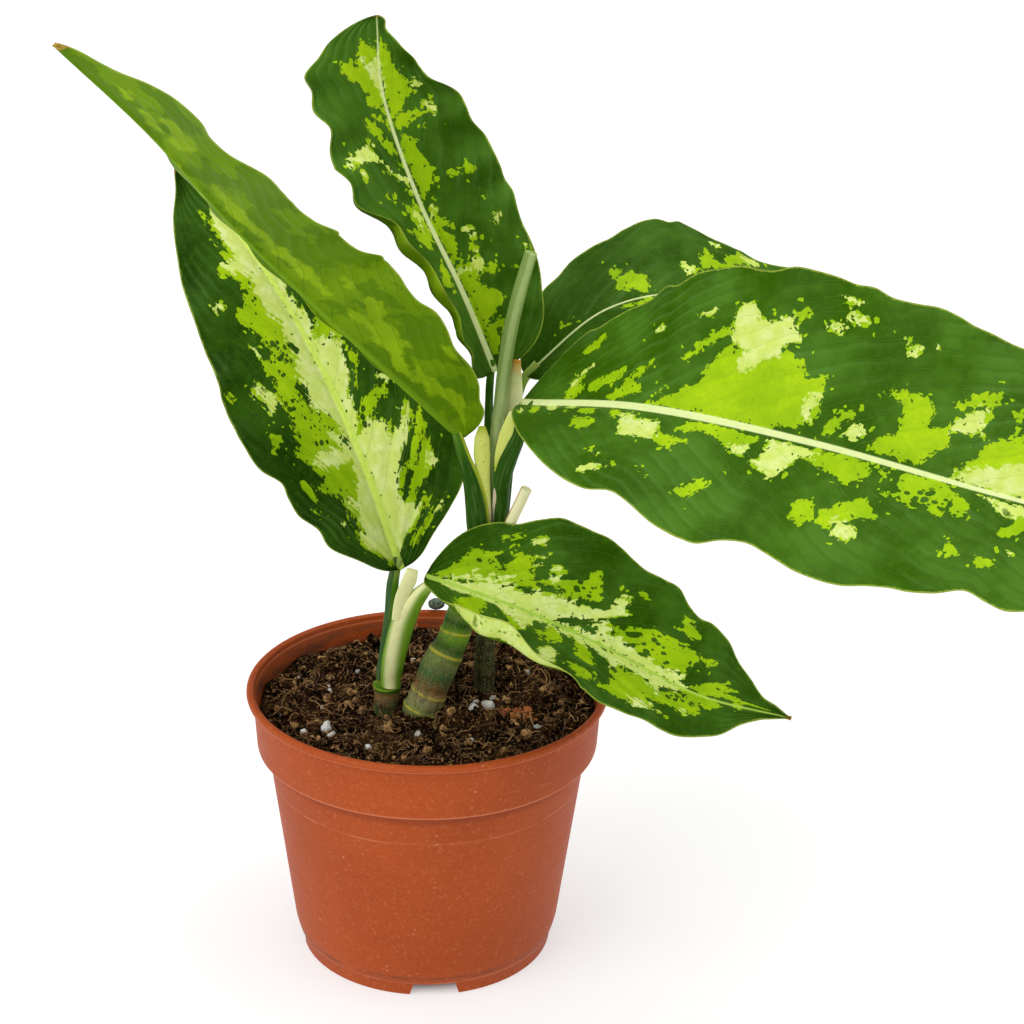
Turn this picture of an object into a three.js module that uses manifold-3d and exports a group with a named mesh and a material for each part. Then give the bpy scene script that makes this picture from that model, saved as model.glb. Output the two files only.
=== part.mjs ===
// Potted Chinese evergreen: six variegated leaves on two shoots in a round nursery pot.
// Millimetres, +Z up. The plant is laid out around the pot's axis, and the finished group is
// shifted so that its origin is the bottom centre of the whole object.
import * as THREE from 'three';
import Module from 'manifold-3d';

const wasm = await Module();
wasm.setup();

// ---- Driving dimensions ----
const GAP = 0.3; // clearance between two pieces that touch on the real plant

const POT_HEIGHT = 94;
const POT_SEGMENTS = 64;
const WALL = 1.4;
const FOOT_RADIUS = 42.5;
const FOOT_HEIGHT = 4.6;
const BODY_BOTTOM_RADIUS = 44.2;
const BODY_CORNER = 5; // height over which the body's lower edge rounds in to the foot
const BODY_TOP_RADIUS = 53.25;
const COLLAR_BOTTOM = 73.5;
const COLLAR_RADIUS = 56.8;
const COLLAR_TOP_RADIUS = 57.9;
const LIP_RADIUS = 60;
const LIP_INNER_RADIUS = 57.4;
const LIP_HEIGHT = 2.5;
const FLOOR_TOP = 6.8;
const NOTCH_COUNT = 4;
const NOTCH_WIDTH = 17;
const NOTCH_TURN = 3.7; // degrees
const DRAIN_HOLE_COUNT = 8;
const DRAIN_HOLE_RADIUS = 3.5;
const DRAIN_HOLE_CIRCLE = 30;

const SOIL_TOP = 86.5;
const SOIL_LUMPS = 1.1;
const SOIL_SEGMENTS = 56;
const SOIL_RINGS = 11;
const SOIL_SEED = 7;

const BLADE_THICKNESS = 0.7;
const BLADE_STEPS = 44;
const PETIOLE_FLATNESS = 0.78; // depth over width
const BLADE_COLUMNS = [-1, -0.75, 0, 0.75, 1]; // shares of the half width
const CURL_SHARPNESS = 4;
const MIN_HALF_WIDTH = 0.6; // of a blade, at its base and tip
const RIB_HALF_WIDTH = 1.3;
const RIB_DEPTH = 1.9;
const RIB_TAPER = 0.7; // share of the rib's depth lost from base to tip
const FOLD_TAPER = 0.6; // share of the fold lost from base to tip
const SHEATH_HALF_DEPTH = 0.6;
const STEM_SIDES = 8;

// Canes: points from the buried end to the top, with the radius at each point.
const CANES = {
  cane_middle: {
    points: [[-4.4, -8.6, 72], [-2.8, -8.4, 84], [-2, -8.1, 88], [0.6, -7.2, 95], [3.8, -6, 103.4],
      [8, -4.4, 111.7], [10.6, -3.4, 120], [15.4, -2.2, 131], [20, -0.6, 141], [20, -0.6, 144]],
    radii: [5.6, 6, 6.4, 5.9, 6.1, 5.1, 4.8, 5, 6, 6.3],
    stub: [[19, -4, 137], [22.4, -6.9, 144.5], [25, -7.8, 152], [31, -9.2, 167]],
    stubRadii: [1.4, 1.6, 1.8, 1.8],
  },
  cane_left: {
    points: [[-15.6, -5, 72], [-14.1, -5.6, 86], [-13.4, -5, 93.2], [-13.4, -5, 96]],
    radii: [3.6, 4, 4.2, 4.6],
  },
  cane_old: {
    points: [[18.4, 9.6, 72], [18.9, 9, 86.9], [19, 8.4, 99], [19, 8, 111]],
    radii: [3, 3.5, 3.4, 3.1],
  },
};

// Leaves. midrib: points along the blade from its base to its tip. faces: where the upper face
// looks. roll: turn about the midrib at base, middle and tip, in degrees. fold: how far each half
// rises from flat, left and right. leftEdge, rightEdge: how far the scalloped margin stands out
// from a smooth outline, in mm, at even steps from base to tip. curl: extra turn of a margin
// between two shares of the length.
const LEAVES = {
  leaf_upper_left: {
    midrib: [[11, -5, 183], [-14, -23, 213], [-39, -35, 241], [-57, -48, 264], [-77, -64, 293],
      [-101, -70, 318]],
    faces: [0.5, 0.6, 0.5],
    roll: [-8, 5, 18],
    halfWidth: [37, 28],
    widest: 0.52,
    baseShape: 0.5,
    tipShape: 0.6,
    leftEdge: [0, -0.3, -2.3, -1.6, -2, -3, -3.2, -1.8, -1.7, -3.5, -2.5, -1.5, -1.8, -0.7, 1.5, -3.5,
      -5.5, -4, -0.5, -5, -6.5, -4, -0.5, 0, -7.5, -6, 1, 2.5, 0, -2, -1, 0, 0],
    rightEdge: [0, 0],
    fold: [22, 24],
    waves: 8,
    waveHeight: 0.9,
    wavePhase: [0.2, 0.6],
    petiole: [[16.6, -4, 144.4], [16.6, -4, 148], [16, -4.3, 154], [15.2, -4.6, 161], [13.6, -5, 168.3],
      [11.1, -5.5, 176.3], [8.1, -7, 186.9]],
    petioleRadii: [4, 4, 4, 3.7, 2.9, 2.1, 1.5],
    sheath: [[19.2, -4.8, 152], [19.2, -5, 156.2], [18.4, -5, 163], [17.4, -5, 170], [16.8, -5, 176.8],
      [16.7, -5, 182.5], [16.7, -5, 186.4]],
    sheathHalfWidths: [0.7, 0.9, 1.3, 2.1, 2.7, 2.4, 1.1],
  },
  leaf_left: {
    midrib: [[-9, 2, 134], [-23, 16, 170], [-39, 26, 203], [-58, 30, 234], [-82, 38, 259]],
    faces: [0.3, -0.8, 0.5],
    roll: [-9, 1, 26],
    halfWidth: [42, 34],
    widest: 0.34,
    baseShape: 0.55,
    tipShape: 0.93,
    leftEdge: [0, -0.7, 1.7, -1.8, 1.5, -0.2, -4, -0.5, 1.6, 1.8, 0, -0.5, 0.3, -0.5, -1.7, -1.3, 0,
      0.4, 0.3, 1, 1.4, 1.4, 0.9, -0.8, 0],
    rightEdge: [0, -2, 0.3, 3, 2, 1, 1, 1, 1, 1, 1, 1, 1, 0.5, 0, -0.5, -1, -2.5, -3, -3, -2.5, -2,
      -1.5, -1, 0],
    fold: [23, 26],
    waves: 6,
    waveHeight: 1.5,
    wavePhase: [0.1, 0.7],
    petiole: [[-15.2, -2, 96.4], [-15.2, -2, 99], [-13.9, -0.9, 107], [-12.4, 0.2, 119], [-11.7, 1.4, 129],
      [-10, 3, 138]],
    petioleRadii: [1.9, 1.9, 2, 2, 2, 1.5],
  },
  leaf_top: {
    midrib: [[21, 12, 199], [10, 15, 225], [-4, 22, 253], [-15, 29, 284], [-17, 30, 309]],
    faces: [0.2, -0.8, 0.4],
    roll: [0, -3, 32],
    halfWidth: [30, 28],
    widest: 0.42,
    baseShape: 0.4,
    tipShape: 0.58,
    leftEdge: [0, -4.5, -8, -9.7, -10.4, -10.4, -10, -9.2, -8.4, -7.4, -5.6, -4, -2.2, 0.8, -1, -3.4, -4,
      -4.2, -0.3, 0.3, 4.2, 1.4, 1.2, 0.8, 0],
    rightEdge: [0, 1.5, 1.5, 1, 0.3, 0.3, 0.2, -0.2, -0.8, -0.4, 0.5, -0.1, 0.4, 0.5, 0.3, -1, -0.4,
      -0.5, -2.5, -5, -5.8, -4.6, -5.6, -6.2, 0],
    fold: [30, 30],
    waves: 8,
    waveHeight: 1.8,
    wavePhase: [0.55, 0.1],
    curl: { side: -1, turn: 150, from: 0.02, to: 0.62 },
    petiole: [[16.8, 3.2, 144.4], [16.8, 3.2, 148], [18.1, 5.8, 164], [19, 9, 178.1], [19.2, 11.4, 189.6],
      [19.4, 12.2, 195.1], [20, 12.6, 203]],
    petioleRadii: [1.8, 1.8, 1.6, 1.5, 1.3, 1.3, 1.2],
  },
  leaf_back_right: {
    midrib: [[31, 20, 195], [57, 28, 215], [87, 35, 219], [118, 50, 208], [150, 60, 202]],
    faces: [-0.1, -0.6, 0.8],
    roll: [15, 10, 12],
    halfWidth: [31, 31],
    widest: 0.48,
    baseShape: 0.6,
    tipShape: 0.52,
    leftEdge: [0, -1, -2, -2.5, -2.3, -2.7, -1, -1.5, -2, 1, 3.2, 2.7, 0.7, 3, 2, -2, -3.2, -1.2, -1.5,
      -2, -1, 0, 0, 0, 0],
    rightEdge: [0, 0.5, -0.5, 0.6, -0.6, 0.5, -0.4, 0.6, -0.5, 0.4, 0, 0],
    fold: [8, 8],
    waves: 6,
    waveHeight: 1.2,
    wavePhase: [0.3, 0.5],
    petiole: [[24, 3.2, 144.4], [24, 3.2, 148], [25.2, 7.4, 162], [27, 14, 180], [29.6, 19, 192],
      [35, 21, 199]],
    petioleRadii: [1.8, 1.8, 1.8, 1.8, 1.7, 1.4],
  },
  leaf_right: {
    midrib: [[29, -4, 194], [64, -45, 207], [108, -79, 209], [152, -115, 208], [197, -150, 207]],
    faces: [-0.2, -0.5, 0.85],
    roll: [8, -15, -18],
    halfWidth: [48, 42],
    widest: 0.41,
    baseShape: 0.74,
    tipShape: 0.5,
    leftEdge: [0, 2.5, 4.5, 2.6, -1.5, -2.4, -2.3, -2.8, -1.4, -3.5, -1.3, -0.4, 0.4, -0.9, -1.4, 0.7,
      1, 0.8, -0.1, 0.1, -1.2, -0.5, 0.9, 0.7, -0.1, 0, 0, 0.8, 0.6, -0.3, -0.5, 0.3, 0.8, 0, -0.4, 0,
      0],
    rightEdge: [0, 0, -0.4, -0.8, -0.8, -0.3, 0.5, 1, 0.8, 0.7, 0.7, -1.8, -1.4, 0, 1.2, 2.8, 3.4, -0.8,
      -3.4, -2.4, 0, 2.4, 3, 2.1, 0, -0.2, 0.8, 0, -2.6, 0, 3, 3.6, 2.4, 0.6, -0.4, 0.4, 0],
    fold: [23, 21],
    waves: 7,
    waveHeight: 1.6,
    wavePhase: [0.4, 0.1],
    petiole: [[23.4, -2.2, 144.4], [23.4, -2.4, 147.5], [23.3, -3.2, 154], [23.1, -4, 161.1],
      [23.1, -5.4, 168.5], [24.6, -6.2, 175.6], [27, -6.6, 182.3], [29, -6.5, 189.2], [33, -9, 195.5]],
    petioleRadii: [2.4, 2.5, 2.5, 2.6, 3.1, 3.3, 3, 2.2, 1.5],
    sheath: [[22.4, -2.9, 148], [22.2, -3.6, 153.9], [22, -4.6, 159.5], [21.4, -6, 165.1], [21.4, -6.8, 173],
      [22.4, -7.6, 178.8], [24.2, -8, 184.7], [25.4, -8, 189.7], [25.8, -8, 192.4]],
    sheathHalfWidths: [1, 1.4, 1.7, 0.8, 0.6, 1.5, 2.2, 1.5, 0.7],
  },
  leaf_front: {
    midrib: [[-1, -17, 140], [29, -27, 133], [56, -39, 125], [84, -49, 114], [112, -59, 111]],
    faces: [0.2, -0.6, 0.8],
    roll: [1, 2, -32],
    halfWidth: [31, 30],
    widest: 0.34,
    baseShape: 0.58,
    tipShape: 1.1,
    leftEdge: [0, 2, 2.2, 1.2, -0.6, 1.2, 3.4, 2.6, 1.8, 2.1, 1.4, 0, -0.8, 0.5, 2, 0, -0.4, 1.9, 2.9,
      3, 1, 0, -1.7, -0.4, 0],
    rightEdge: [0, -4, -1.5, 4.5, 10, 13, 13.5, 12.5, 11, 8.5, 5, 1, -3, -3.1, -2.8, -1.5, -2.2, -1.8,
      -0.5, 0, -0.5, -3.4, -3.2, -1.4, 0],
    fold: [30, 29],
    waves: 6,
    waveHeight: 1.2,
    wavePhase: [0.2, 0.4],
    curl: { side: 1, turn: 105, from: 0.04, to: 0.5 },
    petiole: [[-12.2, -7.3, 96.4], [-12.1, -7.3, 99.6], [-11.3, -8.2, 106.2], [-9.8, -9.4, 114],
      [-7.8, -11, 121.9], [-5.2, -13, 128.4], [-1.4, -15.5, 134.5], [1.8, -17.5, 138.2]],
    petioleRadii: [3.3, 3.4, 3.8, 3.9, 3.9, 3.4, 2.4, 1.5],
    sheath: [[-10, -13.4, 123], [-9.4, -14, 127], [-8.4, -15, 131.8], [-6.2, -16.6, 138.1],
      [-5.1, -17.4, 142.4]],
    sheathHalfWidths: [1.8, 2, 2.2, 2.4, 1.9],
  },
};

const SPEAR = {
  points: [[20.4, 1.2, 144.4], [20.4, 1.2, 147.5], [20.3, 0.8, 158], [20.5, 0.2, 169.7],
    [21.4, -0.8, 183.7], [22.6, -1.4, 194], [23.4, -1.6, 203.5], [25.2, -2, 217.4], [27.9, -3, 230.7],
    [31, -4, 243]],
  radii: [1.5, 1.5, 1.4, 1.4, 1.9, 2.2, 2.2, 2.3, 2.2, 2],
  sheath: [[22, 0.8, 166], [22.7, 0.8, 172.9], [25.1, 0.8, 183.2], [27, 0.9, 193.3], [27.2, 0.9, 200],
    [27.5, 0.9, 206.6]],
  sheathHalfWidths: [1, 1.2, 1.9, 2.5, 2.1, 1.2],
};

const CLOD = { centre: [2.9, 58.6, 96.5], radii: [3, 2.2, 2.1] };

const COLOURS = {
  terracotta: 0xbe5f37,
  peat: 0x2e1d14,
  green: 0x2f6418,
  darkGreen: 0x2c5220,
  oldGreen: 0x5f8436,
  bark: 0x4f3d24,
  paleGreen: 0x93ad6e,
  moss: 0x66735a,
};

// ---- Small helpers ----
const vec = (p) => new THREE.Vector3(p[0], p[1], p[2]);
const radians = THREE.MathUtils.degToRad;
const { mapLinear } = THREE.MathUtils;

// Smooth path through the given points; at(t) and tangent(t) for t from 0 to 1.
function smoothPath(points) {
  const curve = new THREE.CatmullRomCurve3(points.map(vec), false, 'catmullrom', 0.5);
  const step = 0.001;
  const at = (t) => curve.getPoint(t);
  const tangent = (t) => at(Math.min(t + step, 1)).sub(at(Math.max(t - step, 0))).normalize();
  return { at, tangent };
}

// Value at t from a list of evenly spaced values.
function along(values, t) {
  const x = t * (values.length - 1);
  const i = Math.min(Math.floor(x), values.length - 2);
  return THREE.MathUtils.lerp(values[i], values[i + 1], x - i);
}

// Quadratic through values at the base, middle and tip.
function bend([base, middle, tip], t) {
  return base * (1 - t) * (1 - 2 * t) + middle * 4 * t * (1 - t) + tip * t * (2 * t - 1);
}

// Repeatable random numbers from 0 to 1.
function randomSource(seed) {
  let state = seed;
  return () => {
    state = (state * 16807) % 2147483647;
    return state / 2147483647;
  };
}

function toSolid(vertices, triangles) {
  const vertProperties = new Float32Array(vertices.flatMap((p) => [p.x, p.y, p.z]));
  const triVerts = new Uint32Array(triangles.flat());
  return new wasm.Manifold(new wasm.Mesh({ numProp: 3, vertProperties, triVerts }));
}

function toGeometry(solid) {
  const mesh = solid.getMesh();
  const geometry = new THREE.BufferGeometry();
  geometry.setAttribute('position', new THREE.BufferAttribute(new Float32Array(mesh.vertProperties), 3));
  geometry.setIndex(new THREE.BufferAttribute(new Uint32Array(mesh.triVerts), 1));
  geometry.computeVertexNormals();
  return geometry;
}

// Closed solid through rings of equal point counts, each ring seen counterclockwise from its end.
function loft(rings) {
  const count = rings[0].length;
  const triangles = [];
  for (let i = 0; i + 1 < rings.length; i += 1) {
    for (let j = 0; j < count; j += 1) {
      const a = i * count + j;
      const b = i * count + ((j + 1) % count);
      triangles.push([a, b, b + count], [a, b + count, a + count]);
    }
  }
  const last = (rings.length - 1) * count;
  for (let j = 1; j + 1 < count; j += 1) {
    triangles.push([0, j + 1, j], [last, last + j, last + j + 1]);
  }
  return toSolid(rings.flat(), triangles);
}

// Stem along a path with an elliptical section; across is the direction of its wider side.
function stem(points, halfWidths, halfDepths, steps, across = new THREE.Vector3(1, 0, 0)) {
  const path = smoothPath(points);
  const rings = [];
  for (let i = 0; i <= steps; i += 1) {
    const t = i / steps;
    const deep = new THREE.Vector3().crossVectors(path.tangent(t), across).normalize();
    const wide = new THREE.Vector3().crossVectors(deep, path.tangent(t));
    const centre = path.at(t);
    const ring = [];
    for (let j = 0; j < STEM_SIDES; j += 1) {
      const angle = (2 * Math.PI * j) / STEM_SIDES;
      ring.push(centre.clone()
        .addScaledVector(wide, along(halfWidths, t) * Math.cos(angle))
        .addScaledVector(deep, along(halfDepths, t) * Math.sin(angle)));
    }
    rings.push(ring);
  }
  return loft(rings);
}

const roundStem = (points, radii, steps) => stem(points, radii, radii, steps);

// ---- Leaf blade ----
// Smooth curve through evenly spaced values.
function curveThrough(values, t) {
  const last = values.length - 1;
  const value = (k) => values[Math.min(Math.max(k, 0), last)];
  const i = Math.min(Math.floor(t * last), last - 1);
  const w = t * last - i;
  const slope0 = (value(i + 1) - value(i - 1)) / 2;
  const slope1 = (value(i + 2) - value(i)) / 2;
  const rise = value(i + 1) - value(i);
  return value(i) + slope0 * w + (3 * rise - 2 * slope0 - slope1) * w ** 2
    + (slope0 + slope1 - 2 * rise) * w ** 3;
}

function halfWidthAt(leaf, t, side) {
  const inner = Math.min(t / leaf.widest, 1);
  const outer = Math.min((1 - t) / (1 - leaf.widest), 1);
  const shape = t < leaf.widest ? (1 - (1 - inner) ** 2) ** leaf.baseShape
    : (1 - (1 - outer) ** 2) ** leaf.tipShape;
  const waver = curveThrough(side < 0 ? leaf.leftEdge : leaf.rightEdge, t);
  return Math.max(leaf.halfWidth[side < 0 ? 0 : 1] * shape + waver, MIN_HALF_WIDTH);
}

// Rise of the blade at share v of the half width: fold, then curl towards the margin.
function riseAngle(leaf, t, v) {
  const side = Math.sign(v);
  let angle = radians(leaf.fold[side < 0 ? 0 : 1]) * (1 - FOLD_TAPER * t);
  const curl = leaf.curl;
  if (curl && curl.side === side && t > curl.from && t < curl.to) {
    const share = (t - curl.from) / (curl.to - curl.from);
    angle += radians(curl.turn) * Math.sin(Math.PI * share) ** 0.7 * Math.abs(v) ** CURL_SHARPNESS;
  }
  return angle;
}

// Point of the blade's middle surface and its normal, t along the midrib, v across it.
function bladePoint(leaf, path, t, v) {
  const tangent = path.tangent(t);
  const flatSide = new THREE.Vector3().crossVectors(tangent, vec(leaf.faces)).normalize();
  const flatUp = new THREE.Vector3().crossVectors(flatSide, tangent);
  const roll = radians(bend(leaf.roll, t));
  const side = flatSide.clone().multiplyScalar(Math.cos(roll)).addScaledVector(flatUp, Math.sin(roll));
  const up = flatUp.clone().multiplyScalar(Math.cos(roll)).addScaledVector(flatSide, -Math.sin(roll));
  const sign = Math.sign(v) || 1;
  const slices = 12;
  const slice = (Math.abs(v) * halfWidthAt(leaf, t, sign)) / slices;
  const point = path.at(t);
  let angle = 0;
  for (let k = 0; k < slices; k += 1) {
    angle = riseAngle(leaf, t, (v * (k + 0.5)) / slices);
    point.addScaledVector(side, sign * Math.cos(angle) * slice);
    point.addScaledVector(up, Math.sin(angle) * slice);
  }
  const normal = up.clone().multiplyScalar(Math.cos(angle));
  normal.addScaledVector(side, -sign * Math.sin(angle));
  const phase = leaf.wavePhase[sign < 0 ? 0 : 1];
  const wave = Math.sin(2 * Math.PI * (leaf.waves * t + phase)) * Math.sin(Math.PI * t) ** 0.5;
  point.addScaledVector(normal, leaf.waveHeight * wave * v * v);
  return { point, normal };
}

// Thin closed blade with a rib under its midrib. Both faces are split along the same diagonals.
function blade(leaf) {
  const path = smoothPath(leaf.midrib);
  const upper = [];
  const lower = [];
  const columns = BLADE_COLUMNS.length + 2;
  for (let i = 0; i <= BLADE_STEPS; i += 1) {
    const t = i / BLADE_STEPS;
    const ribShares = [-1, 1].map((side) => {
      const share = RIB_HALF_WIDTH / halfWidthAt(leaf, t, side);
      return side * Math.min(share, 0.3);
    });
    const shares = [...BLADE_COLUMNS, ...ribShares].sort((a, b) => a - b);
    for (const v of shares) {
      const { point, normal } = bladePoint(leaf, path, t, v);
      const depth = v === 0 ? RIB_DEPTH * (1 - RIB_TAPER * t) : BLADE_THICKNESS / 2;
      upper.push(point.clone().addScaledVector(normal, BLADE_THICKNESS / 2));
      lower.push(point.clone().addScaledVector(normal, -depth));
    }
  }
  const under = upper.length;
  const triangles = [];
  for (let i = 0; i < BLADE_STEPS; i += 1) {
    for (let j = 0; j + 1 < columns; j += 1) {
      const a = i * columns + j;
      const b = a + 1;
      const c = b + columns;
      const d = a + columns;
      triangles.push([a, b, c], [a, c, d]);
      triangles.push([under + a, under + c, under + b], [under + a, under + d, under + c]);
    }
    const left = i * columns;
    const right = left + columns - 1;
    triangles.push([left, left + columns, under + left]);
    triangles.push([under + left, left + columns, under + left + columns]);
    triangles.push([right, under + right, right + columns]);
    triangles.push([under + right, under + right + columns, right + columns]);
  }
  const end = BLADE_STEPS * columns;
  for (let j = 0; j + 1 < columns; j += 1) {
    triangles.push([j, under + j, j + 1], [under + j, under + j + 1, j + 1]);
    triangles.push([end + j, end + j + 1, under + end + j]);
    triangles.push([under + end + j, end + j + 1, under + end + j + 1]);
  }
  return toSolid([...upper, ...lower], triangles);
}

// A leaf is one grown piece: blade, rib, petiole and, on some, the membranous sheath.
function leafSolid(leaf) {
  const depths = leaf.petioleRadii.map((radius) => radius * PETIOLE_FLATNESS);
  let solid = blade(leaf).add(stem(leaf.petiole, leaf.petioleRadii, depths, 12));
  if (leaf.sheath) {
    solid = solid.add(stem(leaf.sheath, leaf.sheathHalfWidths, [SHEATH_HALF_DEPTH, SHEATH_HALF_DEPTH], 8));
  }
  return solid;
}

// ---- Canes, spear and clod ----
function caneSolid(cane, grow = 0) {
  const radii = cane.radii.map((radius) => radius + grow);
  let solid = roundStem(cane.points, radii, 16);
  if (cane.stub && grow === 0) {
    solid = solid.add(roundStem(cane.stub, cane.stubRadii, 6));
  }
  return solid;
}

function spearSolid() {
  const rolled = roundStem(SPEAR.points, SPEAR.radii, 14);
  return rolled.add(stem(SPEAR.sheath, SPEAR.sheathHalfWidths, [0.8, SHEATH_HALF_DEPTH], 6));
}

function clodGeometry() {
  const geometry = new THREE.SphereGeometry(1, 12, 8);
  geometry.scale(...CLOD.radii);
  geometry.translate(...CLOD.centre);
  return geometry;
}

// ---- Pot ----
// Inner wall radius at a height, used by the pot and by the soil that fills it.
function innerRadius(z) {
  if (z > COLLAR_BOTTOM + 2) {
    return mapLinear(z, COLLAR_BOTTOM, POT_HEIGHT, COLLAR_RADIUS, COLLAR_TOP_RADIUS) - WALL;
  }
  return mapLinear(z, 0, COLLAR_BOTTOM, BODY_BOTTOM_RADIUS, BODY_TOP_RADIUS) - WALL;
}

function potProfile() {
  const top = POT_HEIGHT;
  const lipBottom = top - LIP_HEIGHT;
  return [
    [FOOT_RADIUS - 3.2, 0], [FOOT_RADIUS - 0.5, 0], [FOOT_RADIUS, 0.5],
    [FOOT_RADIUS + 0.2, FOOT_HEIGHT - 0.5], [BODY_BOTTOM_RADIUS - 1, FOOT_HEIGHT],
    [BODY_BOTTOM_RADIUS - 0.1, FOOT_HEIGHT + BODY_CORNER / 2],
    [BODY_BOTTOM_RADIUS + 0.6, FOOT_HEIGHT + BODY_CORNER],
    [BODY_TOP_RADIUS, COLLAR_BOTTOM - 0.6],
    [BODY_TOP_RADIUS + 0.5, COLLAR_BOTTOM], [COLLAR_RADIUS - 0.4, COLLAR_BOTTOM + 0.3],
    [COLLAR_RADIUS, COLLAR_BOTTOM + 1.2], [COLLAR_TOP_RADIUS, lipBottom],
    [LIP_RADIUS - 0.4, lipBottom + 0.1], [LIP_RADIUS, lipBottom + 0.6], [LIP_RADIUS, top - 1],
    [LIP_RADIUS - 0.5, top - 0.3], [LIP_RADIUS - 1.2, top], [LIP_INNER_RADIUS + 0.4, top - 0.3],
    [LIP_INNER_RADIUS, top - 1.2], [LIP_INNER_RADIUS - 0.3, lipBottom],
    [innerRadius(lipBottom - 1.5), lipBottom - 1.5], [innerRadius(COLLAR_BOTTOM + 3), COLLAR_BOTTOM + 3],
    [innerRadius(COLLAR_BOTTOM - 1), COLLAR_BOTTOM - 1], [innerRadius(FLOOR_TOP), FLOOR_TOP],
    [0, FLOOR_TOP], [0, FLOOR_TOP - 2], [FOOT_RADIUS - 4.2, FLOOR_TOP - 2],
  ];
}

// Solid of revolution from a profile whose points run counterclockwise; points on the axis are single.
function revolve(profile, segments) {
  const vertices = [];
  const rows = profile.map(([radius, z]) => {
    const start = vertices.length;
    const count = radius === 0 ? 1 : segments;
    for (let j = 0; j < count; j += 1) {
      const angle = (2 * Math.PI * j) / segments;
      vertices.push(new THREE.Vector3(radius * Math.cos(angle), radius * Math.sin(angle), z));
    }
    return (j) => start + (count === 1 ? 0 : j % segments);
  });
  const triangles = [];
  rows.forEach((row, i) => {
    const next = rows[(i + 1) % rows.length];
    for (let j = 0; j < segments; j += 1) {
      const quad = [row(j), row(j + 1), next(j + 1), next(j)];
      if (quad[0] !== quad[1]) {
        triangles.push([quad[0], quad[1], quad[2]]);
      }
      if (quad[2] !== quad[3]) {
        triangles.push([quad[0], quad[2], quad[3]]);
      }
    }
  });
  return toSolid(vertices, triangles);
}

// Trapezoid notch through the foot at an angle around the pot.
function footNotch(angle) {
  const low = NOTCH_WIDTH / 2;
  const high = low - 1.6;
  const corners = [[-low, -1], [low, -1], [high, FOOT_HEIGHT - 0.2], [-high, FOOT_HEIGHT - 0.2]];
  const axis = new THREE.Vector3(0, 0, 1);
  const section = (distance) => corners
    .map(([side, z]) => new THREE.Vector3(distance, side, z).applyAxisAngle(axis, angle));
  return loft([section(FOOT_RADIUS - 8), section(FOOT_RADIUS + 4)]);
}

function drainHole(angle) {
  const x = DRAIN_HOLE_CIRCLE * Math.cos(angle);
  const y = DRAIN_HOLE_CIRCLE * Math.sin(angle);
  return roundStem([[x, y, 1], [x, y, FLOOR_TOP + 2]], [DRAIN_HOLE_RADIUS, DRAIN_HOLE_RADIUS], 1);
}

function potSolid() {
  let pot = revolve(potProfile(), POT_SEGMENTS);
  for (let i = 0; i < NOTCH_COUNT; i += 1) {
    const quarter = (i * 2 * Math.PI) / NOTCH_COUNT - Math.PI / 2;
    pot = pot.subtract(footNotch(quarter + (NOTCH_TURN * Math.PI) / 180));
  }
  for (let i = 0; i < DRAIN_HOLE_COUNT; i += 1) {
    pot = pot.subtract(drainHole(((i + 0.5) * 2 * Math.PI) / DRAIN_HOLE_COUNT));
  }
  return pot;
}

// ---- Soil ----
// Sum of a few random ripples: the lumpy top of the peat.
function lumpyTop(seed) {
  const random = randomSource(seed);
  const ripples = Array.from({ length: 14 }, () => ({
    direction: 2 * Math.PI * random(),
    length: 9 + 26 * random(),
    phase: 2 * Math.PI * random(),
  }));
  return (x, y) => ripples.reduce((sum, ripple) => {
    const distance = x * Math.cos(ripple.direction) + y * Math.sin(ripple.direction);
    return sum + Math.sin((2 * Math.PI * distance) / ripple.length + ripple.phase) / 3;
  }, 0);
}

function soilSolid() {
  const lumps = lumpyTop(SOIL_SEED);
  const bottom = FLOOR_TOP + GAP;
  const rings = [];
  const ringAt = (radius, heightAt) => Array.from({ length: SOIL_SEGMENTS }, (_, j) => {
    const angle = (2 * Math.PI * j) / SOIL_SEGMENTS;
    const x = radius * Math.cos(angle);
    const y = radius * Math.sin(angle);
    return new THREE.Vector3(x, y, heightAt(x, y));
  });
  const top = (x, y) => SOIL_TOP + SOIL_LUMPS * lumps(x, y);
  for (const z of [bottom, COLLAR_BOTTOM - 0.8, COLLAR_BOTTOM + 3.2, SOIL_TOP - 3]) {
    rings.push(ringAt(innerRadius(z) - GAP * 1.3, () => z));
  }
  const rim = innerRadius(SOIL_TOP - 3) - GAP * 1.3;
  for (let i = 0; i < SOIL_RINGS; i += 1) {
    rings.push(ringAt(rim * (1 - i / SOIL_RINGS), top));
  }
  let soil = loft(rings);
  for (const cane of Object.values(CANES)) {
    soil = soil.subtract(caneSolid(cane, GAP * 1.2));
  }
  return soil;
}

// ---- Assembly ----
function material(colour, roughness) {
  return new THREE.MeshStandardMaterial({ color: colour, roughness, metalness: 0 });
}

const plant = new THREE.Group();

function addPiece(name, geometry, colour, roughness) {
  const mesh = new THREE.Mesh(geometry, material(colour, roughness));
  mesh.name = name;
  plant.add(mesh);
}

addPiece('pot', toGeometry(potSolid()), COLOURS.terracotta, 0.6);
addPiece('soil', toGeometry(soilSolid()), COLOURS.peat, 0.95);
addPiece('cane_middle', toGeometry(caneSolid(CANES.cane_middle)), COLOURS.oldGreen, 0.6);
addPiece('cane_left', toGeometry(caneSolid(CANES.cane_left)), COLOURS.darkGreen, 0.6);
addPiece('cane_old', toGeometry(caneSolid(CANES.cane_old)), COLOURS.bark, 0.9);
for (const [name, leaf] of Object.entries(LEAVES)) {
  addPiece(name, toGeometry(leafSolid(leaf)), COLOURS.green, 0.4);
}
addPiece('spear', toGeometry(spearSolid()), COLOURS.paleGreen, 0.5);
addPiece('rim_clod', clodGeometry(), COLOURS.moss, 0.95);

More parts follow.
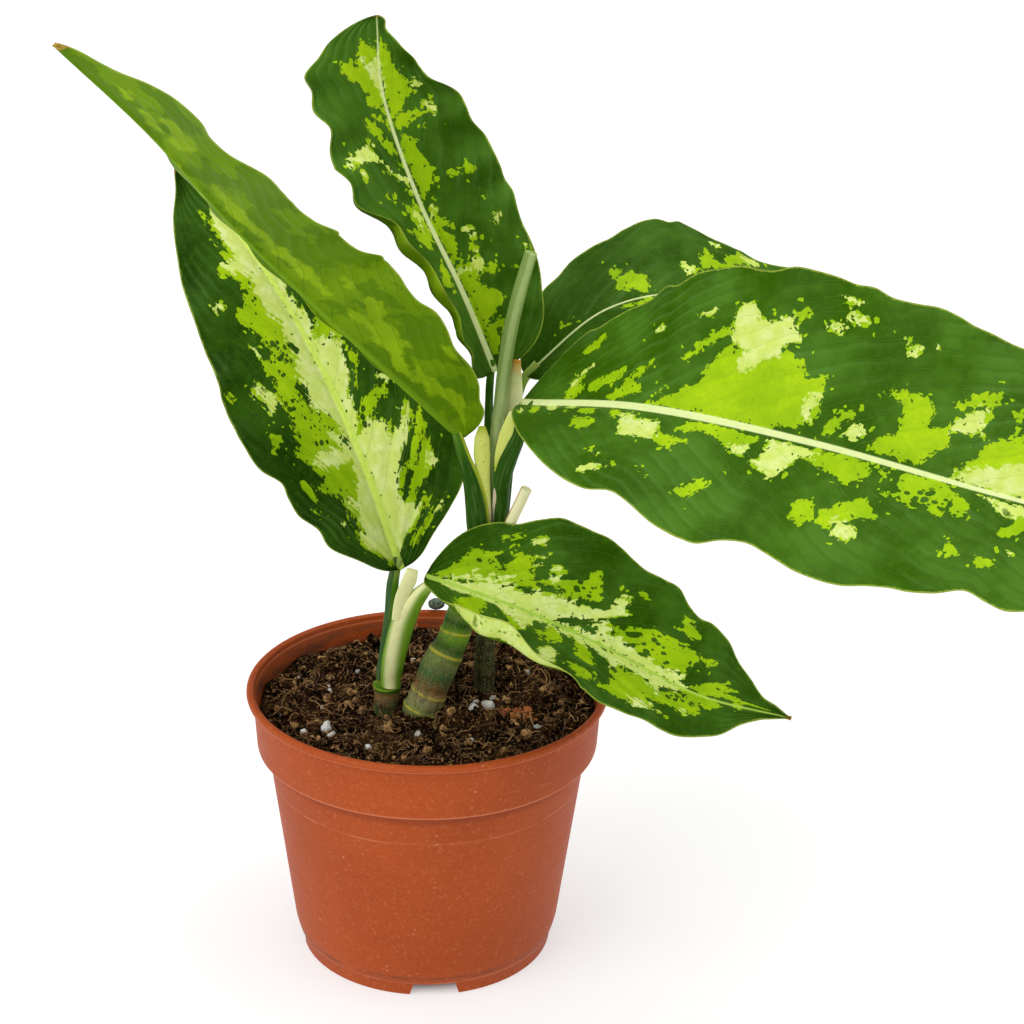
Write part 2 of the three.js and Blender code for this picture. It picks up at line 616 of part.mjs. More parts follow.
// The origin is the bottom centre of the whole object.
const bounds = new THREE.Box3().setFromObject(plant);
const middle = bounds.getCenter(new THREE.Vector3());
plant.position.set(-middle.x, -middle.y, -bounds.min.z);
plant.updateMatrixWorld(true);

export default plant;
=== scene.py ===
"""Potted Chinese evergreen: the looks. Blender 4.5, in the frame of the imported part.

Lengths in the tables are millimetres from the pot's axis on the ground; make_object() turns them
into the frame's metres. The leaves follow the same named values as the solids.
"""

import functools
import math
from types import SimpleNamespace

import bmesh
import bpy
import numpy as np
from mathutils import Matrix, Vector, noise


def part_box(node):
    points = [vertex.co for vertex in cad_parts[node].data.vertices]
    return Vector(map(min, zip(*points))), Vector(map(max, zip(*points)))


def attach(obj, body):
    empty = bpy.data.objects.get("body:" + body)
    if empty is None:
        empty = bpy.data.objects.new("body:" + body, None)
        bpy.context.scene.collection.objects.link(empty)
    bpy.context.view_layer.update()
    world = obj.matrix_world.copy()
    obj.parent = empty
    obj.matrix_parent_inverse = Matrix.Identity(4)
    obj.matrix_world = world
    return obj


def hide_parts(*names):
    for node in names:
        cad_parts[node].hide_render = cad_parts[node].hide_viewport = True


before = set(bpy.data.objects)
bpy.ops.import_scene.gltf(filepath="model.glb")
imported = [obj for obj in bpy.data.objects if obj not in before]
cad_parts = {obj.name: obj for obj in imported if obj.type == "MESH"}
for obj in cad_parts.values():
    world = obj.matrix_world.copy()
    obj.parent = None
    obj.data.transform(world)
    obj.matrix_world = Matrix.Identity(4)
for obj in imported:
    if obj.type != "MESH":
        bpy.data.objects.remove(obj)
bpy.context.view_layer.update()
pot_low, pot_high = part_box("pot")
MM = 0.001
POT_AXIS = np.array([(pot_low.x + pot_high.x) / 2, (pot_low.y + pot_high.y) / 2, pot_low.z])

# ---- Camera ----
CAMERA_FROM_AXIS = (0.0, -0.7074, 0.4397)  # metres from the pot's axis on the ground
CAMERA_RIGHT = (0.99936, -0.03059, 0.01833)
CAMERA_UP = (-0.00560, 0.37317, 0.92775)
CAMERA_FORWARD = (0.03522, 0.92726, -0.37276)
CAMERA_LENS = 83.0
CAMERA_SENSOR = 36

# ---- Pot ----
POT_HEIGHT = 94
WALL = 1.4
FOOT_RADIUS = 42.5
FOOT_HEIGHT = 4.6
BODY_BOTTOM_RADIUS = 44.2
BODY_CORNER = 5
BODY_TOP_RADIUS = 53.25
COLLAR_BOTTOM = 73.5
COLLAR_RADIUS = 56.8
COLLAR_TOP_RADIUS = 57.9
LIP_RADIUS = 60
LIP_INNER_RADIUS = 57.4
LIP_HEIGHT = 2.5
FLOOR_TOP = 6.8
NOTCH_COUNT = 4
NOTCH_WIDTH = 17
NOTCH_TURN = math.radians(3.7)
DRAIN_HOLE_COUNT = 8
DRAIN_HOLE_RADIUS = 3.5
DRAIN_HOLE_CIRCLE = 30
SOIL_TOP = 86.5

# ---- Leaves: the solids' values ----
# midrib: points along it. faces: where the upper face looks. roll: the blade's turn round the midrib
# at its base, middle and tip, degrees. half_width, fold, wave_phase: left and right; the fold is how
# far each half rises, degrees. widest: share of the length. base, tip: how blunt the ends are, blunter
# below 1. left_edge, right_edge: what each margin adds to the half width at evenly spaced points.
# curl: one margin (-1 the left) rolled up between two shares of the length, degrees.
# Only for the looks: rib: the midrib's width. under: share of the underside's colours on the lower
# face. lift: how light the green is, a painted sheen. feather: how far the patches are combed out
# along the veins.
FOLD_TAPER = 0.6
CURL_SHARPNESS = 4
MIN_HALF_WIDTH = 0.6
LEAVES = {
    "leaf_upper_left": dict(
        midrib=[[11, -5, 183], [-14, -23, 213], [-39, -35, 241], [-57, -48, 264], [-77, -64, 293],
            [-101, -70, 318]],
        faces=[0.5, 0.6, 0.5], roll=[-8, 5, 18], half_width=[37, 28], rib=0.8, under=1.0,
        lift=0.3, feather=0.2, widest=0.52, base=0.5, tip=0.6, fold=[22, 24],
        waves=8, wave_height=0.9, wave_phase=[0.2, 0.6],
        left_edge=[0, -0.3, -2.3, -1.6, -2, -3, -3.2, -1.8, -1.7, -3.5, -2.5, -1.5, -1.8, -0.7, 1.5,
            -3.5, -5.5, -4, -0.5, -5, -6.5, -4, -0.5, 0, -7.5, -6, 1, 2.5, 0, -2, -1, 0, 0],
        right_edge=[0, 0]),
    "leaf_left": dict(
        midrib=[[-9, 2, 134], [-23, 16, 170], [-39, 26, 203], [-58, 30, 234], [-82, 38, 259]],
        faces=[0.3, -0.8, 0.5], roll=[-9, 1, 26], half_width=[42, 34], rib=1.15, under=0.6,
        lift=0.0, feather=1.0, widest=0.34, base=0.55, tip=0.93, fold=[23, 26],
        waves=6, wave_height=1.5, wave_phase=[0.1, 0.7],
        left_edge=[0, -0.7, 1.7, -1.8, 1.5, -0.2, -4, -0.5, 1.6, 1.8, 0, -0.5, 0.3, -0.5, -1.7, -1.3, 0,
            0.4, 0.3, 1, 1.4, 1.4, 0.9, -0.8, 0],
        right_edge=[0, -2, 0.3, 3, 2, 1, 1, 1, 1, 1, 1, 1, 1, 0.5, 0, -0.5, -1, -2.5, -3, -3, -2.5, -2,
            -1.5, -1, 0]),
    "leaf_top": dict(
        midrib=[[21, 12, 199], [10, 15, 225], [-4, 22, 253], [-15, 29, 284], [-17, 30, 309]],
        faces=[0.2, -0.8, 0.4], roll=[0, -3, 32], half_width=[30, 28], rib=0.85, under=0.9,
        lift=0.8, feather=0.35, dry_from=0.992, widest=0.42, base=0.4, tip=0.58, fold=[30, 30],
        waves=8, wave_height=1.8, wave_phase=[0.55, 0.1],
        left_edge=[0, -4.5, -8, -9.7, -10.4, -10.4, -10, -9.2, -8.4, -7.4, -5.6, -4, -2.2, 0.8, -1,
            -3.4, -4, -4.2, -0.3, 0.3, 4.2, 1.4, 1.2, 0.8, 0],
        right_edge=[0, 1.5, 1.5, 1, 0.3, 0.3, 0.2, -0.2, -0.8, -0.4, 0.5, -0.1, 0.4, 0.5, 0.3, -1, -0.4,
            -0.5, -2.5, -5, -5.8, -4.6, -5.6, -6.2, 0],
        curl=dict(side=-1, turn=150, start=0.02, end=0.62)),
    "leaf_back_right": dict(
        midrib=[[31, 20, 195], [57, 28, 215], [87, 35, 219], [118, 50, 208], [150, 60, 202]],
        faces=[-0.1, -0.6, 0.8], roll=[15, 10, 12], half_width=[31, 31], rib=0.25, under=0.9,
        lift=0.6, feather=0.3, widest=0.48, base=0.6, tip=0.52, fold=[8, 8],
        waves=6, wave_height=1.2, wave_phase=[0.3, 0.5],
        left_edge=[0, -1, -2, -2.5, -2.3, -2.7, -1, -1.5, -2, 1, 3.2, 2.7, 0.7, 3, 2, -2, -3.2, -1.2,
            -1.5, -2, -1, 0, 0, 0, 0],
        right_edge=[0, 0.5, -0.5, 0.6, -0.6, 0.5, -0.4, 0.6, -0.5, 0.4, 0, 0]),
    "leaf_right": dict(
        midrib=[[29, -4, 194], [64, -45, 207], [108, -79, 209], [152, -115, 208], [197, -150, 207]],
        faces=[-0.2, -0.5, 0.85], roll=[8, -15, -18], half_width=[48, 42], rib=1.3, under=0.9,
        lift=1.0, feather=0.15, widest=0.41, base=0.74, tip=0.5, fold=[23, 21],
        waves=7, wave_height=1.6, wave_phase=[0.4, 0.1],
        left_edge=[0, 2.5, 4.5, 2.6, -1.5, -2.4, -2.3, -2.8, -1.4, -3.5, -1.3, -0.4, 0.4, -0.9, -1.4,
            0.7, 1, 0.8, -0.1, 0.1, -1.2, -0.5, 0.9, 0.7, -0.1, 0, 0, 0.8, 0.6, -0.3, -0.5, 0.3, 0.8, 0,
            -0.4, 0, 0],
        right_edge=[0, 0, -0.4, -0.8, -0.8, -0.3, 0.5, 1, 0.8, 0.7, 0.7, -1.8, -1.4, 0, 1.2, 2.8, 3.4,
            -0.8, -3.4, -2.4, 0, 2.4, 3, 2.1, 0, -0.2, 0.8, 0, -2.6, 0, 3, 3.6, 2.4, 0.6, -0.4, 0.4, 0]),
    "leaf_front": dict(
        midrib=[[-1, -17, 140], [29, -27, 133], [56, -39, 125], [84, -49, 114], [112, -59, 111]],
        faces=[0.2, -0.6, 0.8], roll=[1, 2, -32], half_width=[31, 30], rib=0.75, under=0.35,
        lift=0.6, feather=0.75, widest=0.34, base=0.58, tip=1.1, fold=[30, 29],
        waves=6, wave_height=1.2, wave_phase=[0.2, 0.4],
        left_edge=[0, 2, 2.2, 1.2, -0.6, 1.2, 3.4, 2.6, 1.8, 2.1, 1.4, 0, -0.8, 0.5, 2, 0, -0.4, 1.9,
            2.9, 3, 1, 0, -1.7, -0.4, 0],
        right_edge=[0, -4, -1.5, 4.5, 10, 13, 13.5, 12.5, 11, 8.5, 5, 1, -3, -3.1, -2.8, -1.5, -2.2,
            -1.8, -0.5, 0, -0.5, -3.4, -3.2, -1.4, 0],
        curl=dict(side=1, turn=105, start=0.04, end=0.5)),
}

# Patches of each leaf, later ones over earlier ones: the tone, then the outline's points as per cent
# of the length and of the half width, negative on the left. A row that starts with + goes on.
PATCHES = {
    "leaf_upper_left": """
lime 2,-34 5,-46 7,-57 9,-54 10,-50 11,-40 14,-36 17,-30 17,-25 15,-21 13,-25 12,-16 11,-15 11,-28 8,-38
lime 21,-26 22,-42 26,-43 28,-42 31,-54 33,-52 33,-43 29,-36 27,-30 32,-25 31,-21 27,-22 25,-17 22,-19
lime 36,-47 37,-50 40,-47 39,-44 36,-44
lime 15,-13 15,-19 20,-25 22,-22 20,-15 17,-10
lime 35,-19 42,-25 46,-27 54,-22 63,-21 69,-21 67,-11 61,-9 54,-15 50,-13 46,-15 42,-15
lime 76,-30 78,-50 82,-57 82,-42 79,-34 78,-17 77,-19
lime 80,-21 83,-34 84,-26 82,-11
lime 87,-34 88,-50 89,-38 87,-25
lime 16,-81 19,-83 19,-77 17,-77
lime 8,5 20,4 26,12 22,30 17,40 14,25 10,20
cream 28,3 40,3 46,10 40,24 36,16 32,22
lime 44,4 60,3 64,14 60,36 56,28 52,40 48,22
lime 66,4 84,2 82,14 76,26 72,18 68,30
lime 24,60 27,54 29,62 26,68
lime 50,66 54,58 56,66 53,72
""",
    "leaf_left": """
limes 2,-20 3,-42 6,-60 8,-60 10,-53 10,-44 13,-44 15,-46 18,-46 19,-60 21,-61 22,-50 26,-53 29,-61 31,-56
+ 34,-55 36,-50 43,-50 47,-48 50,-54 52,-52 52,-40 54,-34 58,-38 63,-51 66,-51 66,-40 68,-30 71,-34
+ 75,-49 76,-46 76,-37 78,-37 77,-27 80,-25 85,-34 89,-33 87,-24 85,-20 88,-8 80,0 3,0
cream 2,-15 4,-36 6,-54 8,-54 10,-38 14,-34 15,-44 17,-40 16,-26 20,-14 24,-12 24,-40 26,-50 28,-40 27,-18
+ 30,-22 30,-8 34,-12 38,-27 41,-24 46,-26 49,-18 54,-20 58,-14 61,-22 66,-22 70,-18 74,-38 76,-44 75,-24
+ 79,-23 84,-22 87,-12 86,0 3,0
dark 32,-10 35,-18 37,-26 40,-33 43,-33 44,-28 42,-22 38,-22 36,-14
dark 50,-16 52,-18 53,-15 51,-12
dark 27,-6 28,-12 29,-9 28,-3
limes 5,18 7,45 10,62 12,68 12,58 10,46 13,45 15,58 16,66 20,72 23,71 27,73 29,70 28,63 24,60 21,48
+ 19,36 16,28
limes 4,30 4,55 6,68 7,75 9,74 9,68 7,60 6,45
cream 3,0 4,16 6,34 9,52 11,54 11,38 14,28 18,30 22,42 24,52 30,63 31,58 28,50 25,36 28,38 30,28 31,18
+ 34,12 38,16 41,24 46,28 50,28 50,14 56,14 62,8 68,16 70,10 76,3 80,0
dark 12,30 15,34 19,47 22,62 20,58 16,46 13,38
limes 28,6 29,14 31,22 33,36 34,47 36,46 36,35 34,22 32,12
limes 36,20 38,24 42,38 50,36 53,30 55,22 53,12 51,5 50,10 50,24 46,28 41,26
cream 36,52 37,45 39,45 39,48 37,55 36,58
cream 8,82 9,79 11,88 10,91
cream 17,75 17,69 20,67 20,73 18,78
lime 16,-83 17,-85 17,-81 16,-77
lime 19,-77 22,-79 23,-73 21,-68 20,-71
cream 11,-61 12,-64 13,-58 12,-54
lime 32,-80 33,-76 35,-76 35,-69 33,-71
cream 40,-63 40,-67 43,-65 46,-71 48,-71 49,-67 47,-60 44,-52 41,-53
lime 48,-92 50,-96 50,-93 48,-90
cream 54,-50 57,-51 56,-47
cream 68,-63 68,-73 70,-76 70,-71 69,-64
limes 80,-36 82,-44 82,-38
lime 62,20 66,18 70,24 66,34 63,30
lime 44,60 47,56 50,62 47,68
""",
    "leaf_top": """
lime 11,-58 22,-56 34,-58 41,-66 46,-80 47,-130 11,-130
lime 26,-12 27,-20 29,-24 31,-18 33,-14 34,-8 30,-8
lime 19,-36 20,-41 23,-41 22,-33 21,-31
lime 37,-15 39,-19 44,-30 43,-20 50,-20 48,-10 49,-6 46,-3 41,-3 39,-6 40,-11
cream 41,-6 43,-11 47,-17 47,-12 44,-6
cream 51,-4 54,-8 57,-22 60,-29 61,-38 62,-59 63,-63 64,-59 65,-52 65,-41 62,-27 58,-19 55,-3
cream 61,-73 62,-76 63,-71 62,-64 61,-67
cream 63,-66 64,-68 65,-64 64,-62
cream 58,-57 59,-62 60,-57 59,-55
cream 64,-26 65,-36 66,-36 64,-27
lime 51,-33 53,-40 54,-36 52,-33 54,-30 52,-26
lime 58,-3 61,-8 62,-15 67,-26 69,-33 71,-36 71,-29 67,-16 65,-11 62,-4
lime 66,-3 69,-11 70,-18 70,-11 68,-4
lime 69,-3 72,-9 75,-26 76,-18 79,-31 82,-56 86,-68 86,-49 87,-52 84,-31 92,-42 91,-23 90,-9 85,0 80,0
cream 73,-3 77,-7 83,-18 87,-38 86,-22 84,-12 88,-5 90,2 86,7 78,3
lime 13,3 30,3 31,12 31,32 34,30 35,41 31,37 28,40 28,49 26,49 27,30 26,23 24,25 22,40 19,47 17,36 14,12
lime 4,23 5,21 7,29 9,33 10,26 13,26 14,15 12,7 7,7 5,12
lime 10,33 13,32 14,37 13,44 11,43
cream 29,4 30,7 30,18 29,21
cream 28,29 32,28 32,34 30,39
lime 32,3 44,3 44,10 43,21 41,26 40,26 39,21 42,13 40,8 38,18 35,19 33,12
cream 44,4 46,4 47,10 46,17 45,13
cream 37,36 38,30 40,32 38,43
cream 35,39 36,37 37,43 36,48
lime 49,4 63,3 65,13 62,29 61,22 58,25 55,35 54,29 51,18 50,10
lime 66,4 68,7 69,15 70,29 69,48 68,45 68,34 67,23
lime 65,32 65,28 66,37 65,43
cream 67,62 68,54 70,45 71,48 71,56 69,65
lime 69,2 77,4 92,0 93,10 90,21 86,29 85,25 81,34 78,45 77,41 74,45 73,26 71,21
cream 76,56 76,45 78,43 79,54 77,63
lime 51,50 53,44 53,56 52,58
lime 51,67 53,63 54,67 52,73
cream 36,71 38,67 39,76 39,79 37,76
cream 43,69 44,69 44,71
cream 23,71 25,69 25,73
cream 28,95 29,84 29,96
""",
    "leaf_back_right": """
lime 31,-33 30,-46 31,-53 33,-47 33,-39 38,-37 39,-30 38,-12 37,-5 34,-15 31,-12
cream 49,-21 49,-39 50,-46 53,-36 52,-30
lime 55,-36 55,-56 59,-74 60,-59 63,-53 61,-47 57,-43
lime 63,-53 63,-65 67,-84 74,-91 74,-80 69,-69
cream 68,-78 70,-88 74,-91 74,-80 71,-76
cream 61,-81 61,-88 63,-84
lime 14,-21 15,-28 16,-12
lime 17,-15 17,-25 18,-7
limes 29,8 31,5 33,8 36,0 38,5 37,12 30,12
lime 44,16 52,12 58,20 55,32 48,28
cream 60,32 66,26 68,38 62,42
lime 68,-2 77,-8 79,6 73,14
lime 82,-30 86,-40 88,-26 84,-18
lime 22,40 28,36 30,48 24,54
cream 46,62 49,58 50,66
""",
    "leaf_right": """
lime 9,-75 13,-77 14,-72 12,-63 10,-66
cream 22,-60 24,-63 25,-60 25,-55 23,-57
cream 30,-71 32,-72 32,-66 30,-66
cream 10,-39 13,-46 13,-40 11,-37
lime 9,-8 9,-22 10,-33 11,-34 11,-25 13,-19 11,-8
cream 9,-24 10,-33 11,-33 10,-22
lime 13,-16 14,-25 19,-32 19,-25 17,-20 14,-12
lime 16,-4 19,-13 20,-20 22,-30 24,-33 22,-21 24,-13 19,-5
lime 25,-4 29,-13 32,-22 33,-32 34,-42 35,-49 39,-45 43,-50 46,-47 47,-38 50,-42 50,-22 50,-10 43,-2 34,-1
cream 35,-75 37,-78 39,-67 41,-67 43,-73 45,-58 43,-55 43,-47 38,-33 37,-38 38,-45 35,-53
lime 43,-72 43,-76 45,-78 45,-73 44,-68
lime 29,-38 31,-48 33,-58 35,-60 35,-55 32,-48 31,-40 30,-35
lime 26,-10 27,-16 28,-17 27,-12
cream 48,-14 48,-27 49,-32 50,-31 49,-11
cream 48,-90 50,-92 52,-90 51,-87 49,-87
cream 50,-82 52,-84 54,-79 53,-76 50,-78
cream 48,-73 50,-75 51,-72 50,-68 48,-69
cream 58,-78 59,-79 59,-74
cream 59,-72 61,-76 61,-73 60,-66 59,-68
cream 62,-80 63,-81 63,-77
lime 58,-42 59,-45 64,-48 65,-40 65,-30 68,-32 68,-22 65,-5 58,-5 59,-12 61,-18 61,-38
lime 51,-5 53,-22 55,-24 55,-20 52,-6
creams 54,-8 55,-17 58,-20 56,-7
lime 67,-50 69,-55 72,-67 73,-68 73,-60 71,-52 68,-47
cream 67,-28 68,-38 71,-53 72,-52 72,-35 69,-32
lime 75,-57 76,-63 77,-55 76,-52
lime 69,-3 72,-18 73,-32 77,-45 79,-25 82,-34 86,-36 88,-20 93,-8 88,-3
cream 69,-2 73,-14 79,-30 81,-12 86,-10 90,-4 80,-1
cream 5,5 8,6 10,15 10,25 9,32 8,27 7,17
lime 5,17 6,23 7,37 7,50 6,52 5,40 4,27
cream 3,58 5,57 5,70 4,80
lime 14,13 17,7 18,17 17,23 15,22
cream 11,5 13,7 13,16 11,13
lime 12,23 13,22 13,28
lime 16,37 17,27 20,30 20,38 19,47 17,44
lime 20,8 23,10 23,17 21,18
cream 22,12 25,9 25,15 29,13 30,23 30,33 25,37 24,30 23,20
lime 30,33 30,25 35,26 32,37
lime 33,5 43,5 44,12 40,23 39,18 35,13 34,18 32,17
cream 40,20 43,16 43,26 42,28
lime 49,5 59,3 60,13 58,28 56,23 50,13
cream 45,5 52,7 52,12 50,13 49,33 48,42 47,37 44,28 45,23
lime 60,5 62,7 62,17
lime 62,22 64,23 63,32
limes 64,3 69,2 71,8 71,33 68,27 67,33 64,22
limes 71,7 74,17 74,27 72,30
creams 73,4 78,4 90,2 91,10 86,14 82,22 78,18 76,9
lime 80,14 82,20 80,37 78,37
lime 53,47 55,45 57,62 55,67 53,63
lime 57,53 59,40 61,33 64,45 61,53 59,65 57,63
cream 59,53 62,58 63,63 62,72 60,70
lime 37,72 39,55 41,52 41,58 39,74
cream 24,91 24,82 25,75 28,73 25,90
cream 24,64 25,64 25,68
cream 32,68 33,67 33,71
lime 73,47 75,57 75,63 74,66
lime 77,60 79,60 80,66 78,70
cream 80,50 81,50 81,56
lime 85,44 88,40 89,50 86,54
lime 90,-48 92,-44 91,-34 89,-36
""",
    "leaf_front": """
creams 3,95 10,110 18,118 28,112 38,104 46,96 50,99 46,160 3,160
limes 2,-18 4,-34 7,-45 7,-56 9,-66 14,-60 18,-70 16,-56 15,-50 18,-40 20,-63 24,-64 24,-43 26,-29 14,-12
limes 26,-36 34,-49 36,-54 37,-62 39,-71 41,-62 42,-54 43,-40 36,-33
cream 3,-8 9,-12 15,-20 20,-24 24,-20 27,-28 38,-31 45,-38 46,-50 48,-66 50,-56 51,-46 47,-28 50,-16 58,-14
+ 64,-12 68,-16 70,-20 70,-10 72,-4 70,0 3,0
cream 3,-10 9,-22 11,-32 10,-20 18,-34 22,-36 20,-28 14,-16
limes 49,-14 50,-26 57,-44 61,-48 67,-58 72,-59 72,-50 70,-40 69,-22 65,-15 57,-14
dark 53,-26 55,-37 56,-36 56,-29 55,-22
dark 35,-7 38,-15 43,-18 46,-25 46,-14 43,-4 39,-5
limes 62,-63 64,-70 63,-81 66,-88 70,-81 70,-73 67,-67 65,-69
lime 72,-51 75,-66 77,-67 74,-51
lime 72,-6 75,-21 82,-47 79,-26 84,-39 82,-20 95,-21 85,-13 77,-5
lime 14,-75 15,-81 16,-82 15,-75
lime 16,-78 17,-85 19,-88 20,-82 18,-77
cream 22,-74 22,-85 24,-84 24,-77
cream 24,-52 25,-63 26,-66 26,-56
cream 28,-51 28,-59 30,-58 30,-50
cream 28,-41 31,-54 32,-50 29,-37
lime 50,-69 51,-75 53,-76 53,-71
lime 10,44 12,28 14,12 17,9 17,28 17,69 19,95 13,99 11,77
lime 22,21 25,23 28,28 30,39 29,46 25,47 24,39
lime 22,69 23,58 25,56 27,75 26,81 23,77
lime 26,98 28,86 32,86 33,99
cream 37,61 37,53 39,47 41,49 43,88 44,98 40,94 38,83
lime 32,41 33,28 37,12 39,20 38,39 35,34
lime 43,23 43,9 47,17 50,45 46,43
limes 53,69 55,45 54,28 57,17 63,20 66,30 69,12 73,20 78,39 78,45 73,47 69,42 65,52 66,67 63,73 56,69
cream 3,0 5,12 8,20 13,10 19,15 25,28 30,40 30,14 33,8 38,17 41,10 49,16 52,22 53,38 55,18 62,18 66,35
+ 66,20 69,12 72,0
cream 61,61 63,53 66,54 66,64 65,73 62,73
lime 46,69 46,58 51,56 52,66 48,79
limes 70,1 80,-4 82,12 79,28 73,17
lime 85,-4 86,-10 87,1 86,11
cream 73,41 74,42 74,51
cream 67,62 69,59 69,64
""",
}

# ---- Stems, canes and other tables ----
# Linear colours.
DEEP, MID, FRESH = (0.020, 0.075, 0.003), (0.07, 0.20, 0.006), (0.15, 0.31, 0.015)
SHOOT, SLATE, DULL = (0.21, 0.34, 0.05), (0.045, 0.11, 0.03), (0.26, 0.38, 0.10)
PALE, CREAM, STUB_CREAM = (0.42, 0.55, 0.12), (0.74, 0.76, 0.36), (0.86, 0.82, 0.50)
STRAW, YELLOW, RING = (0.61, 0.66, 0.15), (0.42, 0.50, 0.03), (0.51, 0.45, 0.04)
ASH, SPEAR_PAINTED_HIGHLIGHT, PINK = (0.36, 0.45, 0.17), (0.44, 0.56, 0.21), (0.61, 0.50, 0.36)
HUSK, RUST, STUB_EDGE = (0.71, 0.30, 0.02), (0.20, 0.09, 0.03), (0.52, 0.33, 0.12)
BARK, OLIVE = (0.29, 0.26, 0.12), (0.17, 0.22, 0.05)
MOSSY, EARTH = (0.050, 0.060, 0.018), (0.030, 0.022, 0.010)

# Petioles: path, radii, the colours at evenly spaced points along it, front and back, and a stripe:
# its colour, the angle it runs at (-90 faces the front), how far it reaches to each side, in degrees,
# and how soft its edge is, in radians.
PETIOLE_FLATNESS = 0.78  # depth over width
PETIOLES = {
    "leaf_upper_left": dict(
        path=[[16.6, -4, 144.4], [16.6, -4, 148], [16, -4.3, 154], [15.2, -4.6, 161], [13.6, -5, 168.3],
              [11.1, -5.5, 176.3], [8.1, -7, 186.9]],
        radii=[4, 4, 4, 3.7, 2.9, 2.1, 1.5], front=[*[DEEP] * 5, MID], back=[DEEP, DEEP],
        stripe=dict(colour=YELLOW, angle=[-18, -18, -18, -30], reach=24)),
    "leaf_left": dict(
        path=[[-15.2, -2, 96.4], [-15.2, -2, 99], [-13.9, -0.9, 107], [-12.4, 0.2, 119], [-11.7, 1.4, 129],
              [-10, 3, 138]],
        radii=[1.9, 1.9, 2, 2, 2, 1.5], front=[*[MID] * 5, PALE], back=[MID, MID],
        stripe=dict(colour=SLATE, angle=[-140, -140], reach=46)),
    "leaf_top": dict(
        path=[[16.8, 3.2, 144.4], [16.8, 3.2, 148], [18.1, 5.8, 164], [19, 9, 178.1], [19.2, 11.4, 189.6],
              [19.4, 12.2, 195.1], [20, 12.6, 203]],
        radii=[1.8, 1.8, 1.6, 1.5, 1.3, 1.3, 1.2], front=[*[DEEP] * 5, MID], back=[DEEP, MID]),
    "leaf_back_right": dict(
        path=[[24, 3.2, 144.4], [24, 3.2, 148], [25.2, 7.4, 162], [27, 14, 180], [29.6, 19, 192],
              [35, 21, 199]],
        radii=[1.8, 1.8, 1.8, 1.8, 1.7, 1.4], front=[DEEP, DEEP, DEEP, MID, PALE], back=[DEEP, MID]),
    "leaf_right": dict(
        path=[[23.4, -2.2, 144.4], [23.4, -2.4, 147.5], [23.3, -3.2, 154], [23.1, -4, 161.1],
              [23.1, -5.4, 168.5], [24.6, -6.2, 175.6], [27, -6.6, 182.3], [29, -6.5, 189.2],
              [33, -9, 195.5]],
        radii=[2.4, 2.5, 2.5, 2.6, 3.1, 3.3, 3, 2.2, 1.5], front=[*[DEEP] * 6, MID], back=[DEEP, DEEP],
        # Its slate stripe down the right side is a painted greyish highlight.
        stripe=dict(colour=SLATE, angle=[-20, -20], reach=22)),
    "leaf_front": dict(
        path=[[-12.2, -7.3, 96.4], [-12.1, -7.3, 99.6], [-11.3, -8.2, 106.2], [-9.8, -9.4, 114],
              [-7.8, -11, 121.9], [-5.2, -13, 128.4], [-1.4, -15.5, 134.5], [1.8, -17.5, 138.2]],
        radii=[3.3, 3.4, 3.8, 3.9, 3.9, 3.4, 2.4, 1.5], front=[*[FRESH] * 6, PALE], back=[MID, MID],
        stripe=dict(colour=CREAM, angle=[-94, -98, -106, -114, -122, -130, -150, -170], reach=30,
                    blur=0.34)),
}
# Sheaths: flat bands that hug the stems, coloured along their length, some with brown spots.
SHEATH_HALF_DEPTH = 0.6
SHEATHS = {
    "leaf_upper_left": dict(
        path=[[19.2, -4.8, 152], [19.2, -5, 156.2], [18.4, -5, 163], [17.4, -5, 170], [16.8, -5, 176.8],
              [16.7, -5, 182.5], [16.7, -5, 186.4]],
        half_widths=[0.7, 0.9, 1.3, 2.1, 2.7, 2.4, 1.1],
        colours=[PINK, PINK, *[STRAW] * 4, YELLOW], spots=1.0),
    "leaf_right": dict(
        path=[[22.4, -2.9, 148], [22.2, -3.6, 153.9], [22, -4.6, 159.5], [21.4, -6, 165.1],
              [21.4, -6.8, 173], [22.4, -7.6, 178.8], [24.2, -8, 184.7], [25.4, -8, 189.7],
              [25.8, -8, 192.4]],
        half_widths=[1, 1.4, 1.7, 0.8, 0.6, 1.5, 2.2, 1.5, 0.7],
        colours=[*[PINK] * 4, YELLOW, *[STRAW] * 3, CREAM]),
    "leaf_front": dict(
        path=[[-10, -13.4, 123], [-9.4, -14, 127], [-8.4, -15, 131.8], [-6.2, -16.6, 138.1],
              [-5.1, -17.4, 142.4]],
        half_widths=[1.8, 2, 2.2, 2.4, 1.9], colours=[CREAM, CREAM]),
}
SPEAR = dict(
    path=[[20.4, 1.2, 144.4], [20.4, 1.2, 147.5], [20.3, 0.8, 158], [20.5, 0.2, 169.7], [21.4, -0.8, 183.7],
          [22.6, -1.4, 194], [23.4, -1.6, 203.5], [25.2, -2, 217.4], [27.9, -3, 230.7], [31, -4, 243]],
    radii=[1.5, 1.5, 1.4, 1.4, 1.9, 2.2, 2.2, 2.3, 2.2, 2],
    front=[MID, DULL, ASH, ASH, DULL, DULL, DULL], back=[MID, DULL],
    # The stripe down the spear's front is a painted highlight.
    stripe=dict(colour=SPEAR_PAINTED_HIGHLIGHT, angle=[-100, -100, -75], reach=26))
SPEAR_SHEATH = dict(
    path=[[22, 0.8, 166], [22.7, 0.8, 172.9], [25.1, 0.8, 183.2], [27, 0.9, 193.3], [27.2, 0.9, 200],
          [27.5, 0.9, 206.6]],
    half_widths=[1, 1.2, 1.9, 2.5, 2.1, 1.2], colours=[*[CREAM] * 6, HUSK])
